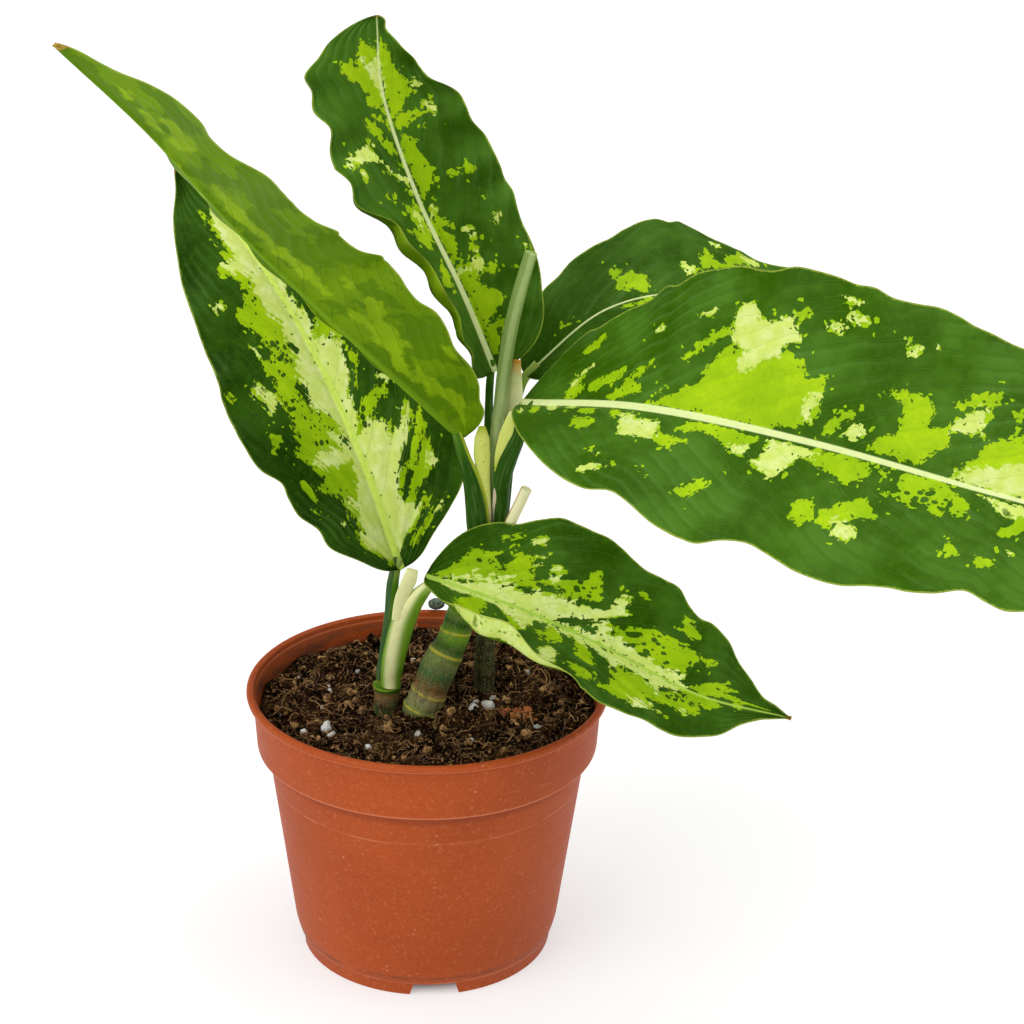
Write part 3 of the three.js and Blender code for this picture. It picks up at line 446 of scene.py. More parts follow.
# Canes: rings are the leaf scars, at shares of the length; rough is how barky the skin is, from 0 to 1.
CANES = {
    "cane_middle": dict(
        path=[[-4.4, -8.6, 72], [-2.8, -8.4, 84], [-2, -8.1, 88], [0.6, -7.2, 95], [3.8, -6, 103.4],
              [8, -4.4, 111.7], [10.6, -3.4, 120], [15.4, -2.2, 131], [20, -0.6, 141], [20, -0.6, 144]],
        radii=[5.6, 6, 6.4, 5.9, 6.1, 5.1, 4.8, 5, 6, 6.3],
        rings=[0.1, 0.235, 0.325, 0.5, 0.6, 0.7, 0.79, 0.88], ring_colour=RING,
        rough=[*[0.6] * 4, 1, 1, 0.9, 0.7, 0.7, 0.5, 0.4, 0.3, 0.2, 0.2, *[0.1] * 4],
        colours=[EARTH, *[MOSSY] * 3, OLIVE, BARK, RUST, SLATE, OLIVE, DEEP, FRESH, DEEP, SHOOT, DEEP, SHOOT,
                 SHOOT, MID, MID]),
    "cane_left": dict(
        path=[[-15.6, -5, 72], [-14.1, -5.6, 86], [-13.4, -5, 93.2], [-13.4, -5, 96]],
        radii=[3.6, 4, 4.2, 4.6], rings=[0.97], ring_colour=YELLOW,
        rough=[0.8, 0.4, 0.4, 0.4, 0.8, 0.8, 0.8, 0.2, 0.1, 0.1],
        colours=[EARTH, DEEP, DEEP, DEEP, EARTH, RUST, RUST, DEEP, MID, MID]),
    "cane_old": dict(
        path=[[18.4, 9.6, 72], [18.9, 9, 86.9], [19, 8.4, 99], [19, 8, 111]],
        radii=[3, 3.5, 3.4, 3.1], rings=[0.52, 0.68, 0.84], ring_colour=EARTH, rough=[0.8, 0.8],
        colours=[*[EARTH] * 4, MOSSY, EARTH, MOSSY]),
}
STUB = dict(path=[[19, -4, 137], [22.4, -6.9, 144.5], [25, -7.8, 152], [31, -9.2, 167]],
            radii=[1.4, 1.6, 1.8, 1.8], front=[PINK, *[STUB_CREAM] * 3], back=[CREAM, CREAM],
            stripe=dict(colour=STUB_EDGE, angle=[-172, -172], reach=15))
CLOD = dict(centre=[2.9, 58.6, 96.5], radii=[3, 2.2, 2.1])  # on the pot's rim
RED_LUMP = (30, -10)  # a reddish fibrous lump of peat, x and y
RED_TONE = 1.9  # its crumbs' tone; the other crumbs' tones run from 0 to 1.1

# Perlite grains in the peat: x, y and size, millimetres.
PERLITE = [
    (-33, -24, 4.6), (-40, -25, 3), (-31, -27, 3.2), (-49, -12, 2.4), (-35, -4, 2.2), (-33, 6, 2.4),
    (-34, 14, 2.2), (-19, -32, 3), (22, 3, 3), (15, -8, 4), (20, -5, 4.6), (16, -2, 3), (14, -26, 3.2),
    (36, -22, 3.4), (-3, -26, 3), (-24, 22, 2), (-5, 34, 2.6), (10, 40, 2.2), (34, 20, 2.6), (42, 5, 2.2),
    (-44, 20, 2), (28, -38, 2.2), (-14, -44, 2.4), (5, 18, 2.2),
]


# ---- Paths and noise ----
def smooth_path(points, t):
    """Points on the smooth path through the given ones, t from 0 to 1, as the solids have it."""
    given = np.asarray(points, float)
    count = len(given)
    x = np.clip(np.asarray(t, float), 0, 1) * (count - 1)
    i = np.minimum(np.floor(x).astype(int), count - 2)
    w = (x - i)[..., None]
    run = np.vstack([2 * given[0] - given[1], given, 2 * given[-1] - given[-2]])
    before, start, end, after = run[i], run[i + 1], run[i + 2], run[i + 3]
    out, into = 0.5 * (end - before), 0.5 * (after - start)
    return (start + out * w + (-3 * start + 3 * end - 2 * out - into) * w**2
            + (2 * start - 2 * end + out + into) * w**3)


def unit(vectors):
    return vectors / np.linalg.norm(vectors, axis=-1, keepdims=True)


def run_length(points, samples=60):
    """Length of the smooth path, measured along its samples."""
    run = smooth_path(points, np.linspace(0, 1, samples))
    return np.linalg.norm(np.diff(run, axis=0), axis=1).sum()


def tangents(points, t):
    step = 0.001
    return unit(smooth_path(points, np.minimum(t + step, 1)) - smooth_path(points, np.maximum(t - step, 0)))


def along(values, t):
    """Values at t from a list of evenly spaced ones: numbers, or rows of numbers."""
    table = np.asarray(values, float)
    x = np.clip(np.asarray(t, float), 0, 1) * (len(table) - 1)
    i = np.minimum(np.floor(x).astype(int), len(table) - 2)
    w = x - i
    if table.ndim > 1:
        w = w[..., None]
    return table[i] * (1 - w) + table[i + 1] * w


def ramp(low, high, x):
    """0 below low and 1 above high, smooth between; low above high turns it round."""
    share = np.clip((x - low) / (high - low), 0, 1)
    return share * share * (3 - 2 * share)


def ripple(points, scale, depth=3, offset=0.0):
    """Fractal noise from about -1 to 1 at each point."""
    shift = Vector((offset, offset * 1.7, -offset))
    return np.array([noise.fractal(Vector(p) * scale + shift, 1.0, 2.0, depth) for p in points])


# ---- Meshes ----
def add_attribute(mesh, key, values):
    """A number or a row of 3 for each vertex, for the materials to read."""
    values = np.asarray(values, np.float32)
    kind, field = ("FLOAT", "value") if values.ndim == 1 else ("FLOAT_VECTOR", "vector")
    mesh.attributes.new(key, kind, "POINT").data.foreach_set(field, values.ravel())


def make_object(name, vertices, faces, materials, indices=None, attributes=None, smooth_angle=50):
    """vertices in millimetres from the pot's axis; attributes: name to a number or row of 3 each."""
    mesh = bpy.data.meshes.new(name)
    mesh.from_pydata((np.asarray(vertices) * MM + POT_AXIS).tolist(), [], [list(f) for f in faces])
    for material in materials:
        mesh.materials.append(material)
    if indices is not None:
        mesh.polygons.foreach_set("material_index", np.asarray(indices, np.int32))
    for key, values in (attributes or {}).items():
        add_attribute(mesh, key, values)
    mesh.validate()
    mesh.shade_smooth()
    mesh.set_sharp_from_angle(angle=math.radians(smooth_angle))
    made = bpy.data.objects.new(name, mesh)
    bpy.context.scene.collection.objects.link(made)
    return made


class Shells:
    """Gathers closed shells, with their attributes and materials, into one mesh."""

    def __init__(self, *keys):
        self.vertices, self.faces, self.indices = [], [], []
        self.attributes = {key: [] for key in keys}
        self.count = 0

    def add(self, vertices, faces, index=0, **values):
        vertices = np.asarray(vertices, float)
        self.vertices.append(vertices)
        self.faces.extend([tuple(v + self.count for v in face) for face in faces])
        self.indices.extend([index] * len(faces))
        for key, kept in self.attributes.items():
            value = np.asarray(values.get(key, 0.0), float)
            if value.shape[:1] != (len(vertices),):
                value = np.broadcast_to(value, (len(vertices),) + value.shape)
            kept.append(value)
        self.count += len(vertices)

    def build(self, name, materials, smooth_angle=50):
        attributes = {}
        for key, kept in self.attributes.items():
            wide = max(value.ndim for value in kept)
            rows = [np.zeros((len(v), 3)) if wide == 2 and v.ndim == 1 else v for v in kept]
            attributes[key] = np.concatenate(rows)
        return make_object(name, np.concatenate(self.vertices), self.faces, materials, self.indices,
                           attributes, smooth_angle)


def grid_faces(rows, columns, start=0, flip=False, wrap=False):
    """Quads between rows of vertices, closed round each row with wrap."""
    faces = []
    span = columns if wrap else columns - 1
    for i in range(rows - 1):
        for j in range(span):
            a, b = start + i * columns + j, start + i * columns + (j + 1) % columns
            quad = (a, b, b + columns, a + columns)
            faces.append(quad[::-1] if flip else quad)
    return faces


def sheet_faces(rows, columns):
    """A closed thin sheet: the upper grid of vertices, the lower one after it, and the rim between."""
    under = rows * columns
    faces = grid_faces(rows, columns, 0, flip=True) + grid_faces(rows, columns, under)
    for i in range(rows - 1):
        a, b = i * columns, (i + 1) * columns
        faces.append((a, b, under + b, under + a))
        c, d = a + columns - 1, b + columns - 1
        faces.append((c, under + c, under + d, d))
    for j in range(columns - 1):
        faces.append((j + 1, j, under + j, under + j + 1))
        k = (rows - 1) * columns + j
        faces.append((k, k + 1, under + k + 1, under + k))
    return faces


def tube(path, half_widths, half_depths, steps=48, sides=20, across=(1, 0, 0), shape=None):
    """Closed stem along a path. Returns vertices, faces, t and the angle of each vertex, the angle 0 at
    the wider side. shape(t, angle) scales the section."""
    t = np.linspace(0, 1, steps + 1)
    centre, ahead = smooth_path(path, t), tangents(path, t)
    deep = unit(np.cross(ahead, np.asarray(across, float)))
    wide = np.cross(deep, ahead)
    angle = 2 * np.pi * np.arange(sides) / sides
    tt, aa = np.meshgrid(t, angle, indexing="ij")
    scale = np.ones_like(tt) if shape is None else shape(tt, aa)
    ring = (centre[:, None] + wide[:, None] * (along(half_widths, tt) * np.cos(aa) * scale)[..., None]
            + deep[:, None] * (along(half_depths, tt) * np.sin(aa) * scale)[..., None])
    vertices = np.vstack([ring.reshape(-1, 3), centre[:1], centre[-1:]])
    faces = grid_faces(steps + 1, sides, wrap=True)
    first, last = len(vertices) - 2, len(vertices) - 1
    base = steps * sides
    for j in range(sides):
        faces.append((first, (j + 1) % sides, j))
        faces.append((last, base + j, base + (j + 1) % sides))
    tt = np.append(tt.ravel(), [0, 1])
    aa = np.append(aa.ravel(), [0, 0])
    return vertices, faces, tt, aa


# ---- Shader building ----
class Shader:
    """Short calls for building one material's nodes."""

    def __init__(self, name):
        self.material = bpy.data.materials.new(name)
        self.material.use_nodes = True
        self.nodes = self.material.node_tree.nodes
        self.links = self.material.node_tree.links
        self.surface = self.nodes["Principled BSDF"]

    def put(self, socket, value):
        if isinstance(value, bpy.types.NodeSocket):
            self.links.new(value, socket)
        elif isinstance(value, tuple) and len(value) == 3 and len(socket.default_value) == 4:
            socket.default_value = (*value, 1)
        else:
            socket.default_value = value

    def set(self, name, value):
        self.put(self.surface.inputs[name], value)

    def attribute(self, name, output="Fac"):
        node = self.nodes.new("ShaderNodeAttribute")
        node.attribute_name = name
        return node.outputs[output]

    def math(self, operation, a, b=0.0):
        node = self.nodes.new("ShaderNodeMath")
        node.operation = operation
        self.put(node.inputs[0], a)
        self.put(node.inputs[1], b)
        return node.outputs[0]

    def scaled(self, vector, scale):
        node = self.nodes.new("ShaderNodeVectorMath")
        node.operation = "MULTIPLY"
        self.put(node.inputs[0], vector)
        node.inputs[1].default_value = scale
        return node.outputs[0]

    def position(self):
        return self.nodes.new("ShaderNodeTexCoord").outputs["Object"]

    def parts(self, vector):
        node = self.nodes.new("ShaderNodeSeparateXYZ")
        self.put(node.inputs[0], vector)
        return node.outputs[0], node.outputs[1], node.outputs[2]

    def joined(self, x, y, z):
        node = self.nodes.new("ShaderNodeCombineXYZ")
        for socket, value in zip(node.inputs, (x, y, z)):
            self.put(socket, value)
        return node.outputs[0]

    def noise(self, vector, scale, detail=3.0, roughness=0.55, output="Fac"):
        node = self.nodes.new("ShaderNodeTexNoise")
        self.put(node.inputs["Vector"], vector)
        node.inputs["Scale"].default_value = scale
        node.inputs["Detail"].default_value = detail
        node.inputs["Roughness"].default_value = roughness
        return node.outputs[output]

    def centred(self, value, spread):
        """A value from 0 to 1 made one from -spread/2 to spread/2."""
        return self.product(self.math("SUBTRACT", value, 0.5), spread)

    def inverse(self, value):
        return self.math("SUBTRACT", 1.0, value)

    def total(self, *values):
        return functools.reduce(lambda a, b: self.math("ADD", a, b), values)

    def product(self, *values):
        return functools.reduce(lambda a, b: self.math("MULTIPLY", a, b), values)

    def channels(self, colour):
        """The three numbers of a colour."""
        node = self.nodes.new("ShaderNodeSeparateColor")
        self.put(node.inputs["Color"], colour)
        return node.outputs[0], node.outputs[1], node.outputs[2]

    def shifted(self, vector, colour, reach):
        """The vector moved by up to half the reach each way, as the colour says."""
        node = self.nodes.new("ShaderNodeVectorMath")
        node.operation = "MULTIPLY_ADD"
        self.put(node.inputs[0], colour)
        node.inputs[1].default_value = (reach, reach, 0)
        self.put(node.inputs[2], vector)
        return node.outputs[0]

    def cells(self, vector, scale, output="Distance"):
        node = self.nodes.new("ShaderNodeTexVoronoi")
        self.put(node.inputs["Vector"], vector)
        node.inputs["Scale"].default_value = scale
        return node.outputs[output]

    def step(self, value, low, high):
        """0 below low and 1 above high, smooth between; low above high turns it round."""
        node = self.nodes.new("ShaderNodeMapRange")
        node.interpolation_type = "SMOOTHSTEP"
        self.put(node.inputs["Value"], value)
        turned = low > high
        node.inputs["From Min"].default_value = high if turned else low
        node.inputs["From Max"].default_value = low if turned else high
        node.inputs["To Min"].default_value = 1.0 if turned else 0.0
        node.inputs["To Max"].default_value = 0.0 if turned else 1.0
        return node.outputs["Result"]

    def mix(self, share, a, b):
        node = self.nodes.new("ShaderNodeMix")
        node.data_type = "RGBA"
        self.put(node.inputs["Factor"], share)
        self.put(node.inputs[6], a)
        self.put(node.inputs[7], b)
        return node.outputs[2]

    def tinted(self, colour, mask, share, tone):
        """The colour, changed by the share towards the tone where the mask is 1."""
        return self.mix(self.product(mask, share), colour, tone)

    def bump(self, height, distance, strength):
        node = self.nodes.new("ShaderNodeBump")
        self.put(node.inputs["Height"], height)
        node.inputs["Distance"].default_value = distance
        node.inputs["Strength"].default_value = strength
        self.links.new(node.outputs["Normal"], self.surface.inputs["Normal"])

    def finish(self, colour, roughness, relief, depth, strength, specular=0.5):
        """Sets the surface, with its relief so many metres deep, and returns the material."""
        self.set("Base Color", colour)
        self.set("Roughness", roughness)
        self.set("Specular IOR Level", specular)
        self.bump(relief, depth, strength)
        return self.material


# ---- Materials ----
VEIN_PITCH = 13.0  # mm between lateral veins along the midrib
FLOOR_GLOW = 0.52
FLOOR_GLOW_EDGE = (0.034, 0.042)  # metres from the pot's axis where the floor's own light sets in

# Lines round the pot: height and half width, mm, strength, whether it is worn, and colour. The unworn
# ones are painted shade below the collar and the lip and a painted highlight along the lower edge of
# each; the worn ones are wear.
POT_SHADE_HIGHLIGHT_AND_WEAR_LINES = [
    (71.4, 2.6, 0.42, False, (0.20, 0.030, 0.006)), (72.9, 1.0, 0.50, False, (0.17, 0.024, 0.005)),
    (74.1, 0.55, 0.50, False, (0.66, 0.22, 0.11)), (90.9, 0.5, 0.40, False, (0.24, 0.038, 0.008)),
    (91.8, 0.35, 0.45, False, (0.66, 0.22, 0.11)), (62.2, 0.4, 0.30, True, (0.72, 0.30, 0.17)),
    (5.0, 0.4, 0.38, True, (0.72, 0.30, 0.17)),
]
SCRATCH_HEIGHT = 79.4  # a scratch on the collar's front, mm
SCRATCH_LEFT, SCRATCH_RIGHT = -15, 8.5
SCRATCH_FADE = 2


def leaf_fields(s):
    """What the colours of both faces of a leaf are made from."""
    at = SimpleNamespace()
    at.place = s.attribute("leaf_place", "Vector")  # along, across and the leaf's number; mm
    at.root = s.attribute("root")  # where the nearest lateral vein leaves the midrib, mm
    at.feather, at.lift, at.rib = s.attribute("feather"), s.attribute("lift"), s.attribute("rib")
    at.cloud = s.noise(at.place, 0.05, 3.0, 0.6)
    at.sway = s.noise(at.place, 0.20, 2.0, 0.5)
    at.grain = s.noise(at.place, 1.5, 3.0, 0.6)
    # The blocks between the smallest veins, larger and smaller, each with three random numbers.
    warped = s.shifted(at.place, s.noise(at.place, 0.55, 1.0, output="Color"), 1.3)
    at.block = s.channels(s.cells(warped, 0.72, "Color"))
    at.crumb = s.channels(s.cells(warped, 1.30, "Color"))
    # Distance along the midrib from one swelling's start, and to the lateral vein in its middle.
    turns = s.total(s.product(at.root, 1 / VEIN_PITCH), s.centred(at.sway, 0.35))
    at.along_block = s.product(s.math("FRACT", turns), VEIN_PITCH)
    at.vein = s.math("ABSOLUTE", s.total(at.along_block, -0.5 * VEIN_PITCH))
    at.thread = s.step(at.vein, 0.45, 0.1)
    return at


def combed(s, at, along_scale, across_scale, detail, reach):
    """Streaks along the lateral veins, as strong as the leaf's feather value."""
    _, across, number = s.parts(at.place)
    run = s.joined(s.product(at.root, along_scale), s.product(across, across_scale), number)
    return s.product(s.centred(s.noise(run, 1.0, detail, 0.6), reach), at.feather)


def patch_shares(s, at):
    """How pale a point is and how cream, from 0 to 1.

    The outlines are ragged, since each small block is pale or green as a whole. Stray blocks lie
    outside them, and some leaves' outlines are combed out along the lateral veins."""
    ragged = s.total(s.centred(at.block[0], 1.6), s.centred(at.crumb[0], 0.45), s.centred(at.sway, 2.6))
    strays = s.total(s.product(s.step(at.block[1], 0.984, 0.987), 3.0),
                     s.product(s.step(at.crumb[1], 0.993, 0.995), 3.6),
                     s.product(s.step(at.crumb[2], 0.020, 0.017), -2.6))
    comb = combed(s, at, 0.22, 0.045, 3.0, 8.0)
    pale = s.step(s.total(s.attribute("pale"), ragged, strays, comb), -0.10, 0.12)
    inner = s.total(s.attribute("cream"), s.centred(at.block[2], 1.9), s.centred(at.crumb[1], 1.0),
                    s.centred(at.sway, -2.6), combed(s, at, 0.28, 0.05, 2.0, 9.0))
    cream = s.step(inner, -0.35, 0.45)

    # Dark flecks inside the speckled patches, drawn out a little along the leaf, off the midrib.
    cell = s.scaled(at.place, (0.42, 0.62, 1.0))
    size = s.total(s.noise(at.place, 0.07, 1.0), s.product(s.channels(s.cells(cell, 1.0, "Color"))[0], 0.22))
    dots = s.step(s.math("SUBTRACT", s.centred(size, 1.7), s.cells(cell, 1.0)), 0.0, 0.05)
    dots = s.product(dots, s.step(at.rib, 1.8, 4.0))
    return s.product(pale, s.inverse(s.product(dots, s.attribute("speck")))), cream


def upper_colour(s, at, pale, cream):
    """Green between patches of lime, and light where these are cream."""
    cloudy = s.step(at.cloud, 0.35, 0.68)
    green = s.mix(cloudy, (0.011, 0.042, 0.000), (0.032, 0.098, 0.004))
    # The lift lightens each leaf's green as a whole: a painted sheen.
    green = s.mix(at.lift, green, s.mix(cloudy, (0.030, 0.094, 0.000), (0.066, 0.172, 0.012)))
    green = s.tinted(green, s.step(at.block[2], 0.45, 1.0), 0.12, (0.10, 0.22, 0.008))
    green = s.tinted(green, s.step(at.grain, 0.5, 0.8), 0.18, (0.09, 0.20, 0.006))
    lime = s.mix(s.step(at.cloud, 0.35, 0.65), (0.27, 0.47, 0.003), (0.39, 0.59, 0.006))
    lime = s.tinted(lime, s.step(at.crumb[0], 0.2, 1.0), 0.25, (0.20, 0.38, 0.003))
    light = s.mix(s.step(at.sway, 0.4, 0.65), (0.63, 0.76, 0.14), (0.73, 0.83, 0.29))
    light = s.tinted(light, s.step(at.block[1], 0.3, 1.0), 0.3, (0.50, 0.67, 0.06))
    light = s.tinted(light, s.step(at.feather, 0.50, 0.70), 0.10, (0.95, 0.97, 0.55))
    light = s.tinted(light, s.step(at.lift, 0.8, 0.95), 0.30, (0.42, 0.52, 0.14))
    # The blade swells between its lateral veins, and the colour paints its relief: painted shade in deep
    # green beside each vein, a painted cool sheen past it.
    painted_vein_shade = s.step(at.vein, 2.6, 0.3)
    painted_sheen_band = s.product(s.step(at.along_block, 7.0, 9.0), s.step(at.along_block, 13.0, 10.0))
    sheen_patches = s.step(s.noise(at.place, 0.035, 2.0), 0.42, 0.60)
    green = s.tinted(green, painted_vein_shade, 0.22, (0.012, 0.050, 0.000))
    green = s.tinted(green, s.product(painted_sheen_band, sheen_patches), 0.24, (0.10, 0.22, 0.045))
    lime = s.tinted(lime, painted_vein_shade, 0.22, (0.24, 0.44, 0.003))
    colour = s.mix(pale, green, s.mix(cream, lime, light))
    # Lateral veins: faint paler lines on the green, faint green ones on the pale patches.
    return s.tinted(colour, at.thread, 0.24, s.mix(pale, (0.14, 0.29, 0.03), (0.30, 0.50, 0.02)))


def lower_colour(s, at, cream):
    """The underside: duller, with the patches faint and broad."""
    veil = s.noise(s.shifted(at.place, s.noise(at.place, 0.12, 1.0, output="Color"), 16.0), 0.055, 2.0, 0.5)
    layer = s.step(s.total(veil, s.centred(at.block[0], 0.04)), 0.50, 0.535)
    spread = s.total(s.attribute("pale"), s.centred(at.sway, 6.0), s.centred(at.crumb[0], 0.8))
    broad = s.step(spread, -1.6, 0.2)
    colour = s.tinted((0.098, 0.205, 0.0015), layer, 0.34, (0.25, 0.42, 0.004))
    colour = s.tinted(colour, broad, 0.85, (0.265, 0.420, 0.006))
    colour = s.tinted(colour, s.product(cream, broad), 0.5, (0.36, 0.50, 0.03))
    colour = s.tinted(colour, s.step(at.cloud, 0.62, 0.38), 0.30, (0.050, 0.125, 0.002))
    colour = s.tinted(colour, at.thread, 0.45, (0.050, 0.120, 0.003))
    return s.tinted(colour, s.step(at.grain, 0.5, 0.8), 0.2, (0.18, 0.30, 0.015))


def leaf_material():
    """Both faces of the leaf blades, from the attributes that add_blade gives them."""
    s = Shader("leaf_blade")
    at = leaf_fields(s)
    under = s.attribute("under")
    pale, cream = patch_shares(s, at)
    colour = s.mix(under, upper_colour(s, at, pale, cream), lower_colour(s, at, cream))

    # The midrib: cream, lime or pale lime, as the leaf's feather value tells the leaves apart.
    rib_colour = s.mix(s.step(at.feather, 0.40, 0.60), (0.76, 0.85, 0.38), (0.45, 0.66, 0.09))
    rib_colour = s.mix(s.step(at.feather, 0.80, 0.95), rib_colour, (0.72, 0.92, 0.14))
    rib_colour = s.mix(under, rib_colour, (0.16, 0.30, 0.008))
    colour = s.tinted(colour, s.step(at.rib, 0.25, -0.20), 0.88, rib_colour)
    # A thin pale margin, and the withered tip.
    margin = s.total(s.attribute("margin"), s.centred(at.crumb[0], 0.3))
    colour = s.tinted(colour, s.step(margin, 0.62, 0.25), 0.7, (0.33, 0.42, 0.05))
    withered = s.mix(s.step(at.grain, 0.4, 0.7), (0.46, 0.33, 0.05), (0.24, 0.13, 0.03))
    dry = s.total(s.attribute("dry"), s.centred(at.sway, 0.6))
    colour = s.mix(s.step(dry, 0.4, 0.6), colour, withered)

    roughness = s.total(s.product(under, 0.12), s.product(at.grain, 0.16), 0.34)
    relief = s.total(s.product(s.inverse(at.thread), 0.5), s.product(at.grain, 0.55),
                     s.product(at.crumb[0], 0.15))
    return s.finish(colour, roughness, relief, 0.00016, 0.8, specular=0.05)


def stem_material():
    """Petioles, canes and sheaths. Their colour comes from the attribute tint."""
    s = Shader("stem_skin")
    tint = s.attribute("tint", "Vector")
    run = s.attribute("stem_place", "Vector")  # along, around and the stem's number; mm
    streaks = s.noise(s.scaled(run, (0.10, 1.6, 1.0)), 1.0, 4.0, 0.6)
    blotch = s.noise(s.scaled(run, (0.22, 0.3, 1.0)), 1.0, 3.0, 0.6)
    grain = s.noise(run, 1.8, 3.0, 0.6)
    lit = s.mix(0.35, tint, (0.60, 0.66, 0.30))
    shade = s.mix(0.6, tint, (0.02, 0.04, 0.01))
    colour = s.tinted(tint, s.step(streaks, 0.45, 0.72), 0.30, lit)
    colour = s.tinted(colour, s.step(blotch, 0.50, 0.75), 0.25, shade)
    # Rough bark: scuffed pale and brown.
    rough = s.attribute("rough")
    scuffs = s.step(s.total(grain, s.centred(blotch, 0.8)), 0.50, 0.62)
    colour = s.mix(s.product(scuffs, 0.6, rough), colour, (0.30, 0.30, 0.13))
    stains = s.product(s.step(blotch, 0.46, 0.62), rough)
    colour = s.tinted(colour, stains, 0.55, (0.050, 0.055, 0.016))
    pits = s.step(s.total(grain, s.centred(streaks, -0.6)), 0.42, 0.34)
    colour = s.mix(s.product(pits, 0.7, rough), colour, (0.045, 0.032, 0.015))
    # Brown spots on the dry sheaths.
    spots = s.cells(s.scaled(run, (0.45, 0.8, 1.0)), 1.0)
    spotted = s.product(s.step(spots, 0.20, 0.12), s.attribute("spots"))
    colour = s.tinted(colour, spotted, 0.75, (0.30, 0.15, 0.04))
    roughness = s.total(s.product(streaks, 0.2), s.product(rough, 0.25), 0.36)
    relief = s.total(s.product(streaks, 0.7), s.product(blotch, 0.4), s.product(grain, rough))
    return s.finish(colour, roughness, relief, 0.00022, 0.8, specular=0.04)


def pot_material():
    """Moulded terracotta-coloured plastic: fine grain, rubbed marks and light scuffs."""
    s = Shader("pot_plastic")
    place = s.position()
    cloud = s.noise(place, 16.0, 4.0, 0.6)
    grain = s.noise(place, 900.0, 2.0, 0.6)
    smear = s.noise(s.scaled(place, (1.0, 1.0, 4.0)), 60.0, 4.0, 0.65)
    colour = s.mix(s.step(cloud, 0.3, 0.7), (0.345, 0.055, 0.006), (0.405, 0.068, 0.008))
    colour = s.tinted(colour, s.step(smear, 0.55, 0.85), 0.18, (0.56, 0.17, 0.07))
    colour = s.tinted(colour, s.step(grain, 0.54, 0.76), 0.30, (0.62, 0.21, 0.09))
    colour = s.tinted(colour, s.step(grain, 0.46, 0.26), 0.30, (0.22, 0.036, 0.006))
    flecks = s.cells(place, 260.0)
    fleck_share = s.noise(place, 45.0, 2.0)
    fleck = s.product(s.step(flecks, 0.13, 0.07), s.step(fleck_share, 0.57, 0.66))
    colour = s.tinted(colour, fleck, 0.4, (0.72, 0.40, 0.27))
    dirt = s.attribute("dirt")
    colour = s.mix(s.product(dirt, s.step(smear, 0.35, 0.65)), colour, (0.13, 0.040, 0.018))
    # The moulded edges: a painted highlight along each, painted shade below the collar and the lip, and
    # worn lines.
    x, y, z = s.parts(place)
    height = s.product(z, 1 / MM)
    wobble = s.noise(place, 30.0, 2.0)
    outside = s.attribute("outside")
    broken = s.step(s.noise(place, 90.0, 3.0), 0.40, 0.60)
    for middle, half, share, worn, tone in POT_SHADE_HIGHLIGHT_AND_WEAR_LINES:
        off = s.math("ABSOLUTE", s.total(height, s.centred(wobble, 1.2 if worn else 0.0), -middle))
        shade_highlight_or_wear_line = s.product(s.step(off, half, 0.3 * half), outside)
        shade_highlight_or_wear_line = s.product(shade_highlight_or_wear_line, s.total(s.product(broken, 0.7), 0.3)) if worn else shade_highlight_or_wear_line
        colour = s.tinted(colour, shade_highlight_or_wear_line, share, tone)
    # A short pale scratch on the front of the collar.
    mark = s.step(s.math("ABSOLUTE", s.total(height, s.centred(wobble, 3.0), -SCRATCH_HEIGHT)), 0.5, 0.2)
    side = s.product(x, 1 / MM)
    span = s.product(s.step(side, SCRATCH_LEFT, SCRATCH_LEFT + SCRATCH_FADE),
                     s.step(side, SCRATCH_RIGHT, SCRATCH_RIGHT - SCRATCH_FADE))
    front = s.step(y, 0.0, -0.010)
    mark = s.product(mark, span, s.product(front, broken))
    colour = s.tinted(colour, mark, 0.5, (0.74, 0.38, 0.26))
    relief = s.total(s.product(grain, 0.5), s.product(smear, 0.25))
    return s.finish(colour, s.total(s.product(smear, 0.2), 0.46), relief, 0.00010, 0.7, specular=0.20)


def peat_material():
    s = Shader("peat")
    place = s.position()
    tone = s.attribute("tone")
    cloud = s.noise(place, 110.0, 4.0, 0.65)
    grain = s.noise(place, 900.0, 3.0, 0.7)
    # Dark brown peat run down to near black: partly the peat's own colour, partly painted shade for the gaps
    # between the crumbs.
    colour = s.mix(s.step(cloud, 0.42, 0.75), (0.004, 0.002, 0.001), (0.050, 0.022, 0.008))
    colour = s.tinted(colour, s.step(grain, 0.52, 0.72), 0.8, (0.42, 0.22, 0.085))
    crumb = s.mix(s.step(grain, 0.35, 0.7), (0.090, 0.036, 0.013), (0.66, 0.39, 0.16))
    colour = s.mix(s.step(tone, 0.5, 1.0), colour, crumb)
    reddish = s.mix(s.step(grain, 0.35, 0.7), (0.18, 0.050, 0.016), (0.58, 0.20, 0.065))
    colour = s.mix(s.step(tone, 1.2, 1.8), colour, reddish)
    relief = s.total(s.product(cloud, 0.8), s.product(grain, 0.8))
    return s.finish(colour, 0.95, relief, 0.0007, 1.0, specular=0.03)


def fibre_material():
    s = Shader("root_fibre")
    place = s.position()
    streak = s.noise(place, 400.0, 2.0)
    colour = s.mix(s.attribute("tone"), (0.085, 0.030, 0.010), (0.60, 0.33, 0.12))
    colour = s.tinted(colour, s.step(streak, 0.4, 0.7), 0.45, (0.050, 0.022, 0.010))
    return s.finish(colour, 0.85, streak, 0.0002, 0.8)


